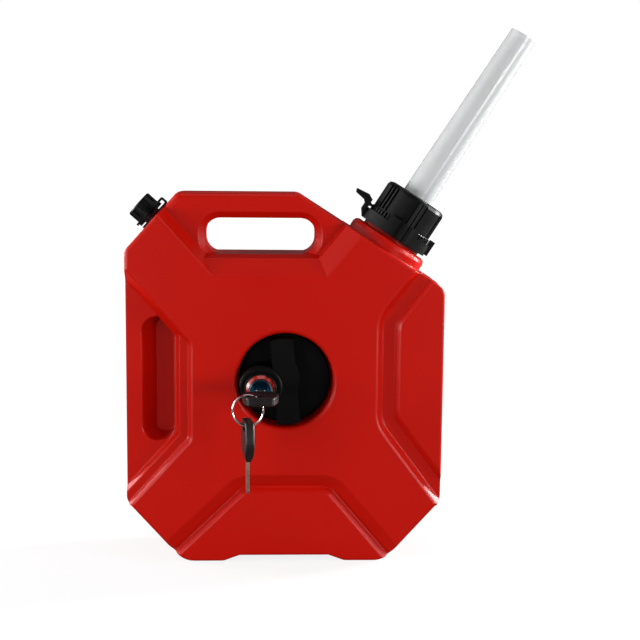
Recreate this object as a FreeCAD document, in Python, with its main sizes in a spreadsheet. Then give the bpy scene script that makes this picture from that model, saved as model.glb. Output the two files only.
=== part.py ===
"""Fuel can of about three litres with a locking centre mount, a pouring spout and a screwed vent.

Frame: X runs to the spout side, Z is up, and the can's front faces -Y. The can is drawn about its
well axis (X = 0) and its parting plane (Y = 0), with the ground at Z = 0. At the end everything is
moved so that the origin lies under the middle of the whole object's box.
"""
import FreeCAD, Part
import math
import os
from types import SimpleNamespace

import Sketcher
from FreeCAD import Placement, Rotation, Vector

# Every driving size: its alias, its value in millimetres or degrees, and what it is.
SIZES = [
    # The can's outline, seen from the front
    ("half_width", 123.0, "well axis to either side of the can"),
    ("height", 288.5, "ground to the top of the handle"),
    ("depth_half", 37.5, "parting plane to the raised cross on either face"),
    ("wall", 2.0, "thickness of the blown wall"),
    ("foot_reach", 78.7, "well axis to the outer end of a foot"),
    ("foot_inner", 47.5, "well axis to the inner end of a foot"),
    ("foot_ramp", 12.5, "length of the ramp from a foot to the raised middle"),
    ("foot_lift", 4.6, "height of the raised middle above the ground"),
    ("low_corner_z", 49.2, "height where the lower chamfers meet the sides"),
    ("handle_left", 84.0, "well axis to the left end of the handle's flat top"),
    ("handle_right", 9.6, "well axis to the right end of the handle's flat top"),
    ("neck_tilt", 32.5, "slope of the right shoulder, and lean of the neck from upright"),
    ("vent_slope", 48.2, "slope of the left shoulder"),
    ("corner_round", 9.0, "radius of the outline's upper corners"),
    ("low_corner_round", 9.0, "radius where the lower chamfers meet the sides"),
    ("foot_round", 18.0, "radius of the feet's outer ends"),
    ("foot_inner_round", 10.0, "radius of the feet's inner ends"),
    ("edge_round", 2.6, "radius along the edges of the raised cross"),
    ("panel_round", 1.6, "radius along the edges of the raised panels"),
    # The four sunk fields that leave the raised cross standing
    ("left_waist", 72.1, "well axis to the cross on the left"),
    ("left_low", 98.2, "lower corner of the left waist"),
    ("left_high", 174.5, "upper corner of the left waist"),
    ("left_splay_low", 47.9, "splay of the lower left arm"),
    ("left_splay_high", 48.6, "splay of the upper left arm"),
    ("right_waist", 71.3, "well axis to the cross on the right"),
    ("right_low", 110.1, "lower corner of the right waist"),
    ("right_high", 194.5, "upper corner of the right waist"),
    ("right_splay_low", 53.1, "splay of the lower right arm"),
    ("right_splay_high", 52.5, "splay of the upper right arm"),
    ("top_waist", 225.1, "height of the cross under the handle"),
    ("top_left", -54.7, "left corner of the top waist"),
    ("top_right", 31.5, "right corner of the top waist"),
    ("top_splay_left", 42.6, "splay of the upper left arm along the handle"),
    ("top_splay_right", 39.8, "splay of the upper right arm along the handle"),
    ("bottom_waist", 70.2, "height of the cross above the feet"),
    ("bottom_left", -37.1, "left corner of the bottom waist"),
    ("bottom_right", 40.6, "right corner of the bottom waist"),
    ("bottom_splay_left", 45.8, "splay of the lower left arm along the bottom"),
    ("bottom_splay_right", 40.3, "splay of the lower right arm along the bottom"),
    ("waist_round", 8.0, "radius of the left field's inner corners"),
    ("right_round", 30.0, "radius of the right groove's inner corners"),
    ("bottom_round", 26.0, "radius of the bottom groove's inner corners"),
    ("right_panel_round", 13.0, "radius of the right panel's inner corners"),
    ("bottom_panel_round", 6.0, "radius of the bottom panel's inner corners"),
    ("groove_depth_half", 31.5, "parting plane to the groove round the lower and right panels"),
    ("panel_depth_half", 35.5, "parting plane to the raised panels"),
    ("right_run", 4.4, "width of the slope from the cross down to the right groove"),
    ("bottom_run", 10.2, "width of the slope from the cross down to the bottom groove"),
    ("panel_run", 4.0, "width of the slope from a groove up to its panel"),
    ("right_groove", 17.8, "width from the cross to the right panel's face"),
    ("bottom_groove", 15.2, "width from the cross to the bottom panel's face"),
    ("step_depth_half", 33.5, "parting plane to the step along the left field"),
    ("step_run", 3.0, "width of the slope from the cross down to the step"),
    ("step_width", 9.5, "width from the cross to the step's outer edge"),
    ("field_depth_half", 28.5, "parting plane to the left field"),
    # The handle and the finger pockets
    ("ledge_depth_half", 27.5, "parting plane to the front edge of the ledge under the handle"),
    ("ledge_z", 241.5, "height of the ledge, the floor of the handle opening"),
    ("ledge_rise", 13.9, "height of the slope from the cross up to the ledge"),
    ("ledge_right_run", 13.4, "width of the slope right of the handle"),
    ("ledge_left_run", 3.2, "width of the slope left of the handle"),
    ("handle_depth_half", 19.0, "half the depth of the handle bar"),
    ("grip_left", 62.5, "well axis to the left end of the handle opening"),
    ("grip_right", 23.3, "well axis to the right end of the handle opening"),
    ("grip_top", 269.2, "height of the handle bar's underside"),
    ("grip_round", 12.0, "radius of the handle opening's corners"),
    ("grip_bevel", 5.0, "radius round the mouth of the handle opening"),
    ("pocket_outer", 111.8, "well axis to the pocket's outer rim"),
    ("pocket_inner", 85.8, "well axis to the pocket's inner rim"),
    ("pocket_low", 95.7, "lower end of the pocket"),
    ("pocket_high", 194.1, "upper end of the pocket"),
    ("pocket_round", 12.5, "radius of the pocket's ends"),
    ("pocket_draft", 11.0, "lean of the pocket's outer wall"),
    ("pocket_end_draft", 4.0, "lean of the pocket's ends"),
    ("pocket_floor_half", 11.0, "parting plane to the pocket's floor"),
    ("pocket_floor_round", 6.0, "radius of the pocket's ends at its floor"),
    # The stepped well through the middle
    ("well_z", 145.0, "height of the well axis"),
    ("well_radius", 37.0, "radius of the front well"),
    ("well_floor", 18.0, "parting plane to the floor of the front well"),
    ("well_round", 3.4, "radius of the well's rim"),
    ("bore_radius", 30.0, "radius of the hole through the can"),
    ("rear_well_radius", 48.0, "radius of the rear well"),
    ("rear_well_floor", 30.5, "parting plane to the floor of the rear well"),
    # The neck, in its own frame: outwards from the right shoulder along the leaning axis
    ("neck_along", 81.2, "handle's right corner to the neck axis, along the right shoulder"),
    ("boss_radius", 32.5, "radius of the boss round the neck"),
    ("boss_top", 9.0, "shoulder to the top of the boss"),
    ("boss_round", 3.5, "radius of the boss's edge"),
    ("root_radius", 24.5, "radius of the neck's root, which carries the lock ring"),
    ("root_top", 11.7, "shoulder to the top of the neck's root"),
    ("neck_radius", 20.7, "radius of the neck over its thread"),
    ("neck_top", 39.0, "shoulder to the top of the neck"),
    ("neck_bore", 17.5, "radius of the neck's bore"),
    # The vent, in its own frame: outwards from the left shoulder
    ("vent_along", 27.8, "handle's left corner to the vent axis, along the left shoulder"),
    ("vent_radius", 7.0, "radius of the vent neck over its thread"),
    ("vent_top", 12.4, "shoulder to the top of the vent neck"),
    ("vent_bore", 4.2, "radius of the vent's bore"),
    ("vent_gasket_thick", 2.0, "thickness of the vent gasket"),
    ("vent_gasket_radius", 6.8, "radius of the vent gasket"),
    ("cap_radius", 11.0, "radius of the vent cap"),
    ("cap_bottom", 3.2, "shoulder to the cap's lower edge"),
    ("cap_top_wall", 2.6, "thickness of the cap's top"),
    ("cap_flare", 0.9, "how far the cap's skirt flares"),
    ("cap_flare_height", 1.4, "height of the flared rim"),
    ("cap_taper_height", 2.0, "height of the taper above the flared rim"),
    ("cap_groove_count", 12, "grip grooves round the vent cap"),
    ("cap_groove_width", 2.2, "width of a grip groove on the vent cap"),
    ("cap_groove_depth", 0.8, "depth of a grip groove on the vent cap"),
    ("cap_groove_length", 7.0, "length of a grip groove on the vent cap"),
    ("thread_clearance", 0.2, "radial gap between a cap and its neck"),
    ("tether_radius", 12.0, "outer radius of the tether's neck ring"),
    ("tether_bottom", 0.3, "shoulder to the tether's neck ring"),
    ("tether_thick", 1.7, "thickness of the tether's rings"),
    ("tether_strap", 1.4, "thickness of the tether's strap"),
    ("tether_width", 6.0, "width of the tether's strap"),
    ("tether_gap", 0.15, "gap between the tether's rings and what they hold"),
    ("tether_ring_wall", 1.5, "radial width of the tether's cap ring"),
    # The lock ring, collar and spout, in the neck's frame
    ("ring_floor", 2.0, "thickness of the lock ring's floor"),
    ("ring_radius", 29.0, "radius of the lock ring"),
    ("ring_wall", 1.4, "thickness of the lock ring's wall"),
    ("ring_height", 8.8, "height of the lock ring"),
    ("ring_bore_gap", 0.3, "gap between the lock ring and the neck"),
    ("block_height", 14.1, "height of the lock ring's front and back blocks"),
    ("block_thick", 2.4, "radial thickness of those blocks"),
    ("block_angle", 52.0, "arc that each block takes"),
    ("block_rib", 1.5, "how far the blocks' ribs stand out"),
    ("block_rib_width", 2.6, "width of a rib on the blocks"),
    ("block_rib_pitch", 5.4, "distance from one rib to the next"),
    ("block_rib_count", 3, "ribs on each block"),
    ("lug_reach", 31.4, "neck axis to the end of the stop lug"),
    ("lug_height", 13.9, "height of the stop lug"),
    ("lug_width", 8.0, "width of the stop lug"),
    ("tab_width", 10.0, "width of the release tab"),
    ("tab_foot", 6.0, "ring's lower face to the line that the release tab bends about"),
    ("tab_gap", 0.1, "gap round the release tab's rounded foot"),
    ("tab_thick", 3.4, "thickness of the release tab"),
    ("tab_tongue", 3.2, "thickness of the release tab's tongue"),
    ("tab_rise", 11.9, "height of the release tab above the line it bends about"),
    ("tab_reach", 11.0, "how far the release tab's tongue stands out"),
    ("tab_droop", 1.2, "how far the tongue's end drops"),
    ("tab_nose_gap", 0.3, "gap between the tab's nose and the collar's teeth"),
    ("collar_gap", 0.9, "gap between the lock ring's floor and the collar"),
    ("collar_radius", 25.5, "radius of the collar"),
    ("collar_wall", 3.5, "thickness of the collar's top"),
    ("collar_round", 3.4, "radius of the collar's upper edge"),
    ("teeth_radius", 26.5, "radius over the collar's teeth"),
    ("teeth_height", 10.2, "height of the toothed skirt"),
    ("teeth_count", 50, "teeth round the collar"),
    ("teeth_slot", 1.6, "width of the slot between two teeth"),
    ("teeth_depth", 1.7, "depth of the slot between two teeth"),
    ("grip_pairs", 6, "sets of grip grooves round the collar"),
    ("grip_step", 9.0, "angle between the grooves of one set"),
    ("grip_phase", 38.0, "turn of the sets from the downhill side"),
    ("grip_width", 2.8, "width of a grip groove on the collar"),
    ("grip_depth", 1.5, "depth of a grip groove on the collar"),
    ("grip_length", 20.0, "length of a grip groove on the collar"),
    ("gasket_thick", 2.0, "thickness of the spout gasket"),
    ("gasket_radius", 20.2, "radius of the spout gasket and of the spout's flange"),
    ("flange_thick", 3.5, "thickness of the spout's flange"),
    ("spout_length", 152.3, "spout's flange to its open end"),
    ("spout_root_radius", 12.6, "radius of the spout where it leaves the collar"),
    ("spout_tip_radius", 10.7, "radius of the spout's open end"),
    ("spout_wall", 1.5, "thickness of the spout"),
    ("spout_clearance", 0.5, "gap between the spout and the collar's hole"),
    ("spout_rings", 13, "shallow rings round the spout"),
    ("spout_ring_pitch", 9.5, "distance from one ring to the next"),
    ("spout_ring_start", 33.0, "spout's flange to the first ring"),
    ("spout_ring_depth", 0.12, "depth of a ring"),
    ("spout_ring_width", 1.6, "width of a ring"),
    # The knob and its lock, in the well's frame: outwards from the parting plane
    ("knob_angle", 5.3, "turn of the knob at rest, seen from the front"),
    ("washer_thick", 1.5, "thickness of the knob's washer"),
    ("washer_inner", 30.5, "inner radius of the knob's washer"),
    ("washer_outer", 35.0, "outer radius of the knob's washer"),
    ("disc_radius", 35.5, "radius of the knob's disc"),
    ("disc_thick", 5.0, "thickness of the knob's disc"),
    ("bar_length", 66.8, "length of the knob's grip bar"),
    ("bar_width", 18.6, "width of the knob's grip bar"),
    ("bar_height", 17.0, "height of the grip bar above the disc"),
    ("bar_wave_pitch", 3.9, "pitch of the scallops along the bar"),
    ("bar_wave_radius", 2.6, "radius of a scallop"),
    ("bar_wave_depth", 0.8, "depth of a scallop"),
    ("bar_wave_count", 16, "scallops along each side of the bar"),
    ("bulge_radius", 20.5, "radius of the bar's plain bulge on the right"),
    ("bulge_out", 1.9, "how far that bulge stands out"),
    ("bulge_rise", 3.4, "how far the bulge's middle lies above the knob's centre"),
    ("hub_radius", 9.0, "radius of the hub under the knob's disc"),
    ("hub_depth", 5.5, "length of the hub under the knob's disc"),
    ("lock_offset", 19.2, "knob's centre to the lock's axis, along the cross axis"),
    ("lock_drop", 2.7, "how far the lock's axis lies below the cross axis"),
    ("housing_radius", 17.2, "radius of the lock's housing on the knob"),
    ("housing_height", 19.5, "height of the housing above the disc"),
    ("housing_round", 2.0, "radius of the housing's edge"),
    ("stud_radius", 5.0, "radius of the threaded stud"),
    ("stud_head_radius", 7.0, "radius of the stud's head, moulded into the knob"),
    ("stud_head_thick", 5.0, "thickness of the stud's head"),
    ("stud_length", 28.5, "length of the stud below its head"),
    ("running_gap", 0.05, "radial gap of a turning or sliding fit"),
    ("barrel_radius", 9.5, "radius of the lock's barrel"),
    ("barrel_rear", 13.5, "parting plane to the barrel's rear end"),
    ("barrel_flange", 12.4, "radius of the barrel's flange"),
    ("barrel_flange_thick", 5.0, "thickness of the barrel's flange"),
    ("bezel_radius", 11.2, "radius of the bezel ring"),
    ("bezel_height", 4.0, "height of the bezel ring"),
    ("bezel_taper", 2.0, "how far the bezel narrows towards its front"),
    ("plug_head_radius", 8.4, "radius of the plug's face"),
    ("plug_proud", 1.6, "how far the plug's face stands out of the bezel"),
    ("plug_radius", 6.5, "radius of the plug in the barrel"),
    ("plug_seat", 2.8, "half width of the square that drives the cam"),
    ("plug_seat_length", 2.0, "length of that square"),
    ("clip_thick", 0.8, "thickness of the clip behind the barrel"),
    ("clip_inner", 5.4, "radius of the plug's groove for the clip"),
    ("clip_outer", 7.9, "outer radius of the clip"),
    ("plug_tail", 1.9, "barrel's rear end to the end of the plug's round part"),
    ("plug_tail_radius", 5.9, "radius of that rear end"),
    ("keyway_half", 3.75, "half width of the keyway"),
    ("keyway_height", 2.4, "height of the keyway"),
    ("keyway_depth", 27.0, "depth of the keyway"),
    ("wafer_count", 5, "wafers in the plug"),
    ("wafer_pitch", 3.0, "distance from one wafer to the next"),
    ("wafer_thick", 1.2, "thickness of a wafer"),
    ("wafer_start", 9.0, "plug's face to the middle of the first wafer"),
    ("wafer_width", 9.0, "width of a wafer, along the keyway"),
    ("wafer_height", 8.8, "height of a wafer"),
    ("wafer_gap", 0.1, "gap round a wafer in its slot"),
    ("cam_thick", 2.0, "thickness of the cam"),
    ("cam_reach", 9.0, "lock's axis to the end of the cam"),
    ("cam_width", 7.0, "width of the cam"),
    ("cam_root", 5.3, "radius of the cam round the plug"),
    ("cam_screw_radius", 1.9, "radius of the cam's screw"),
    ("cam_screw_head", 3.9, "radius of the cam screw's head"),
    ("cam_screw_head_thick", 2.2, "thickness of the cam screw's head"),
    ("cam_screw_length", 6.0, "length of the cam screw's shank"),
    # The keys and their ring, in the lock's frame
    ("key_blade_width", 7.0, "width of a key's blade"),
    ("key_blade_thick", 2.0, "thickness of a key's blade"),
    ("key_blade_length", 24.6, "length of a key's blade outside its head"),
    ("key_blade_root", 6.0, "length of the blade inside the head"),
    ("key_insert", 13.0, "how far the key stands in the plug at rest"),
    ("key_cut_count", 5, "cuts along each edge of the blade"),
    ("key_cut_pitch", 3.0, "distance from one cut to the next"),
    ("key_cut_depth", 0.9, "depth of a cut"),
    ("key_head_length", 30.5, "length of a key's head"),
    ("key_head_width", 27.0, "width of a key's head where it is widest"),
    ("key_head_wide", 15.0, "blade's root to where the head is widest"),
    ("key_head_neck", 10.0, "width of the head where the blade leaves it"),
    ("key_head_end", 20.0, "width of the head's outer end"),
    ("key_head_thick", 6.8, "thickness of a key's head"),
    ("key_neck_thick", 3.4, "thickness of the head where the blade leaves it"),
    ("key_neck_length", 6.6, "length over which the head thins towards the blade"),
    ("key_head_round", 1.5, "radius of the head's edges"),
    ("key_corner_round", 3.2, "radius of the head's outer corners"),
    ("key_eye_offset", 2.7, "head's middle line to the middle of its eye"),
    ("key_eye_back", 5.0, "head's end to the middle of its eye"),
    ("key_eye_length", 11.0, "length of the eye"),
    ("key_eye_width", 5.0, "width of the eye"),
    ("split_radius", 11.3, "mean radius of the split ring"),
    ("split_wire", 0.7, "radius of the split ring's wire"),
    ("split_pitch", 1.5, "distance from one turn of the ring to the next"),
    ("split_turns", 1.9, "turns of the split ring"),
    ("split_segment", 0.5, "turns of the ring that one face of its wire covers"),
    ("split_left", 9.2, "lock's axis to the ring's middle, to the left"),
    ("split_down", 7.0, "lock's axis to the ring's middle, downwards"),
    ("spare_yaw", -9.0, "turn of the hanging key about the upright"),
    ("spare_hang", 0.7, "ring's lowest wire down to the middle of the hanging key's eye"),
    # The mount base behind the can, in the well's frame
    ("base_radius", 46.5, "radius of the base's flange"),
    ("base_thick", 6.5, "thickness of the base's flange"),
    ("post_radius", 28.5, "radius of the base's post"),
    ("post_wall", 3.0, "thickness of the post's wall"),
    ("post_top", 12.0, "parting plane to the post's rim"),
    ("post_floor", 4.0, "thickness of the post's floor"),
    ("post_boss_radius", 12.0, "radius of the boss that holds the nut"),
    ("post_boss_top", 10.0, "parting plane to the boss's top"),
    ("post_rib", 2.5, "thickness of the ribs between boss and post"),
    ("post_rib_top", 2.0, "parting plane to the ribs' top"),
    ("notch_count", 4, "notches round the post's rim"),
    ("notch_depth", 7.0, "depth of a notch"),
    ("notch_above", 4.0, "lock's axis to the notch's upper edge"),
    ("notch_below", 9.8, "lock's axis to the notch's lower edge"),
    ("nut_radius", 8.5, "radius of the nut insert"),
    ("nut_length", 18.0, "length of the nut insert"),
    ("screw_circle", 37.5, "post's axis to each mounting hole"),
    ("screw_hole", 3.2, "radius of a mounting hole"),
    ("screw_head", 5.8, "radius of the countersink over a mounting hole"),
    ("screw_count", 4, "mounting holes"),
]


class Dim:
    """A number from the sheet that also keeps the expression it was worked out with."""

    def __init__(self, value, text):
        self.value = value
        self.text = text

    def __add__(self, other):
        other = dim(other)
        return Dim(self.value + other.value, f"({self.text} + {other.text})")

    def __sub__(self, other):
        other = dim(other)
        return Dim(self.value - other.value, f"({self.text} - {other.text})")

    def __mul__(self, other):
        other = dim(other)
        return Dim(self.value * other.value, f"({self.text} * {other.text})")

    def __truediv__(self, other):
        other = dim(other)
        return Dim(self.value / other.value, f"({self.text} / {other.text})")

    def __radd__(self, other):
        return dim(other) + self

    def __rsub__(self, other):
        return dim(other) - self

    def __rmul__(self, other):
        return dim(other) * self

    def __neg__(self):
        return Dim(-self.value, f"(0 - {self.text})")


def dim(value):
    """Makes a plain number a Dim; a Dim stays as it is."""
    if isinstance(value, Dim):
        return value
    return Dim(float(value), f"{value:.6f}")


def sine(angle):
    return Dim(math.sin(math.radians(angle.value)), f"sin({angle.text} * 1deg)")


def cosine(angle):
    return Dim(math.cos(math.radians(angle.value)), f"cos({angle.text} * 1deg)")


def tangent(angle):
    return Dim(math.tan(math.radians(angle.value)), f"tan({angle.text} * 1deg)")


def make_sheet(doc):
    """Writes the driving sizes into their sheet and returns them as Dims under their aliases.

    A second sheet holds where the whole object's origin goes, which is known only at the end.
    """
    sheet = doc.addObject("Spreadsheet::Sheet", "Sizes")
    named = {}
    for row, (alias, value, meaning) in enumerate(SIZES, start=1):
        sheet.set(f"A{row}", alias)
        sheet.set(f"B{row}", f"{value}")
        sheet.set(f"C{row}", meaning)
        sheet.setAlias(f"B{row}", alias)
        named[alias] = Dim(value, f"Sizes.{alias}")
    origin = doc.addObject("Spreadsheet::Sheet", "Origin")
    for row, alias in enumerate(("origin_x", "origin_y"), start=1):
        origin.set(f"B{row}", "0")
        origin.setAlias(f"B{row}", alias)
        named[alias] = Dim(0.0, f"Origin.{alias}")
    doc.recompute()
    return origin, SimpleNamespace(**named)


def bind(thing, prop, value):
    """Binds one property to the sheet."""
    value = dim(value)
    thing.setExpression(prop, value.text)


def pin(sketch, kind, geometry, corner, value):
    """Fixes one coordinate of a sketch point from the sketch's origin."""
    value = dim(value)
    number = sketch.addConstraint(Sketcher.Constraint(kind, -1, 1, geometry, corner, value.value))
    sketch.setExpression(f"Constraints[{number}]", value.text)


def draw_polygon(sketch, points):
    """Draws a closed polygon whose corners are each fixed by two bound distances."""
    count = len(points)
    flat = [Vector(dim(x).value, dim(y).value, 0) for x, y in points]
    for i in range(count):
        sketch.addGeometry(Part.LineSegment(flat[i], flat[(i + 1) % count]), False)
    for i in range(count):
        sketch.addConstraint(Sketcher.Constraint("Coincident", i, 2, (i + 1) % count, 1))
    for i, (x, y) in enumerate(points):
        pin(sketch, "DistanceX", i, 1, x)
        pin(sketch, "DistanceY", i, 1, y)


def draw_rounded(sketch, left, right, low, high, radius):
    """Draws a rectangle with four equal round corners."""
    left, right, low, high, radius = (dim(v) for v in (left, right, low, high, radius))
    x0, x1, y0, y1, r = (v.value for v in (left, right, low, high, radius))
    lines = [
        (Vector(x0 + r, y0, 0), Vector(x1 - r, y0, 0)),
        (Vector(x1, y0 + r, 0), Vector(x1, y1 - r, 0)),
        (Vector(x1 - r, y1, 0), Vector(x0 + r, y1, 0)),
        (Vector(x0, y1 - r, 0), Vector(x0, y0 + r, 0)),
    ]
    centres = [(x1 - r, y0 + r), (x1 - r, y1 - r), (x0 + r, y1 - r), (x0 + r, y0 + r)]
    turns = [(-90, 0), (0, 90), (90, 180), (180, 270)]
    for start, end in lines:
        sketch.addGeometry(Part.LineSegment(start, end), False)
    for (cx, cy), (start, end) in zip(centres, turns):
        circle = Part.Circle(Vector(cx, cy, 0), Vector(0, 0, 1), r)
        arc = Part.ArcOfCircle(circle, math.radians(start), math.radians(end))
        sketch.addGeometry(arc, False)
    for i in range(4):
        sketch.addConstraint(Sketcher.Constraint("Tangent", i, 2, 4 + i, 1))
        sketch.addConstraint(Sketcher.Constraint("Tangent", 4 + i, 2, (i + 1) % 4, 1))
    for i in (5, 6, 7):
        sketch.addConstraint(Sketcher.Constraint("Equal", 4, i))
    for i in (0, 2):
        sketch.addConstraint(Sketcher.Constraint("Horizontal", i))
    for i in (1, 3):
        sketch.addConstraint(Sketcher.Constraint("Vertical", i))
    number = sketch.addConstraint(Sketcher.Constraint("Radius", 4, r))
    sketch.setExpression(f"Constraints[{number}]", radius.text)
    pin(sketch, "DistanceY", 0, 1, low)
    pin(sketch, "DistanceY", 2, 1, high)
    pin(sketch, "DistanceX", 1, 1, right)
    pin(sketch, "DistanceX", 3, 1, left)


def front_sketch(doc, name, level):
    """Makes a sketch seen from the front, on the plane at level millimetres before the parting plane."""
    sketch = doc.addObject("Sketcher::SketchObject", name)
    sketch.Placement = Placement(Vector(0, 0, 0), Rotation(Vector(1, 0, 0), 90))
    bind(sketch, "Placement.Base.y", -dim(level))
    return sketch


def extrude_both(doc, name, sketch, half):
    """Extrudes a sketch on the parting plane the same length to the front and the back."""
    block = doc.addObject("Part::Extrusion", name)
    block.Base = sketch
    block.DirMode = "Normal"
    block.Solid = True
    bind(block, "LengthFwd", half)
    bind(block, "LengthRev", half)
    return block


def loft(doc, name, sketches):
    """Joins sketches on parallel planes with straight-sided walls."""
    body = doc.addObject("Part::Loft", name)
    body.Sections = sketches
    body.Solid = True
    body.Ruled = True
    return body


def round_edges(doc, name, base, radius_of):
    """Rounds the edges of base that radius_of gives a radius for."""
    doc.recompute()
    rounded = doc.addObject("Part::Fillet", name)
    rounded.Base = base
    found = [(i, radius_of(edge)) for i, edge in enumerate(base.Shape.Edges, start=1)]
    rounded.Edges = [(i, radius, radius) for i, radius in found if radius]
    return rounded


def mirrored(doc, name, source):
    """Repeats a front feature on the back."""
    copy = doc.addObject("Part::Mirroring", name)
    copy.Source = source
    copy.Normal = Vector(0, 1, 0)
    return copy


def runs_through(edge):
    """Tells whether an edge of a form goes from the front to the back."""
    box = edge.BoundBox
    return box.YLength > 1.0


def seen(side, out, along):
    """A point of a field, given outwards and along it, as seen from the front."""
    return {"left": (-out, along), "right": (out, along), "top": (along, out), "bottom": (along, -out)}[side]


def draw_arced(sketch, points, arcs):
    """Draws a closed outline; arcs holds the centre and the radius of each side that is an arc."""
    count = len(points)
    flat = [Vector(dim(x).value, dim(y).value, 0) for x, y in points]
    ends = [(1, 2)] * count
    for i in range(count):
        start, end = flat[i], flat[(i + 1) % count]
        if i not in arcs:
            sketch.addGeometry(Part.LineSegment(start, end), False)
            continue
        (x, y), radius = arcs[i]
        centre = Vector(dim(x).value, dim(y).value, 0)
        if (start - centre).cross(end - centre).z < 0:
            start, end = end, start
            ends[i] = (2, 1)
        angles = [math.atan2(spot.y - centre.y, spot.x - centre.x) for spot in (start, end)]
        circle = Part.Circle(centre, Vector(0, 0, 1), radius.value)
        sketch.addGeometry(Part.ArcOfCircle(circle, *angles), False)
    for i in range(count):
        after = (i + 1) % count
        sketch.addConstraint(Sketcher.Constraint("Coincident", i, ends[i][1], after, ends[after][0]))
    for i, (x, y) in enumerate(points):
        pin(sketch, "DistanceX", i, ends[i][0], x)
        pin(sketch, "DistanceY", i, ends[i][0], y)
    for i, (_, radius) in arcs.items():
        number = sketch.addConstraint(Sketcher.Constraint("Radius", i, radius.value))
        sketch.setExpression(f"Constraints[{number}]", radius.text)


def draw_field(sketch, side, sizes, insets, reach, corner_round):
    """Draws a sunk field that opens outwards from the cross's waist.

    The insets narrow it at the waist, the low arm and the high arm, each square to its edge. The
    corners at the waist keep one middle through all insets, and corner_round is their radius at
    no inset.
    """
    waist, low, high, splay_low, splay_high = sizes
    at_waist, at_low, at_high = (dim(v) for v in insets)
    corners = []
    for out in (waist + at_waist, waist + reach):
        run = out - waist
        corners.append((out, low - run * tangent(splay_low) + at_low / cosine(splay_low),
                        high + run * tangent(splay_high) - at_high / cosine(splay_high)))
    (near, near_low, near_high), (far, far_low, far_high) = corners
    outer = [seen(side, far, far_high), seen(side, far, far_low)]
    if not corner_round:
        draw_polygon(sketch, [seen(side, near, near_low), seen(side, near, near_high)] + outer)
        return
    radius = corner_round - at_waist
    low_side = radius * tangent((90 - splay_low) / 2)
    high_side = radius * tangent((90 - splay_high) / 2)
    inner = [
        seen(side, near + low_side * cosine(splay_low), near_low - low_side * sine(splay_low)),
        seen(side, near, near_low + low_side),
        seen(side, near, near_high - high_side),
        seen(side, near + high_side * cosine(splay_high), near_high + high_side * sine(splay_high)),
    ]
    draw_arced(sketch, inner + outer, {
        0: (seen(side, near + radius, near_low + low_side), radius),
        2: (seen(side, near + radius, near_high - high_side), radius),
    })


def field_sizes(s, side):
    """The sizes that place one of the four fields."""
    return {
        "left": (s.left_waist, s.left_low, s.left_high, s.left_splay_low, s.left_splay_high),
        "right": (s.right_waist, s.right_low, s.right_high, s.right_splay_low, s.right_splay_high),
        "top": (s.top_waist, s.top_left, s.top_right, s.top_splay_left, s.top_splay_right),
        "bottom": (-s.bottom_waist, s.bottom_left, s.bottom_right,
                   s.bottom_splay_left, s.bottom_splay_right),
    }[side]


def relief(doc, s, name, side, levels, corner_round):
    """A slope-sided form on one field, through (level, insets) pairs from the front inwards."""
    sections = []
    for number, (level, insets) in enumerate(levels, start=1):
        sketch = front_sketch(doc, f"{name}_section_{number}", level)
        draw_field(sketch, side, field_sizes(s, side), insets, s.half_width, corner_round)
        sections.append(sketch)
    return loft(doc, f"{name}_loft", sections)


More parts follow.
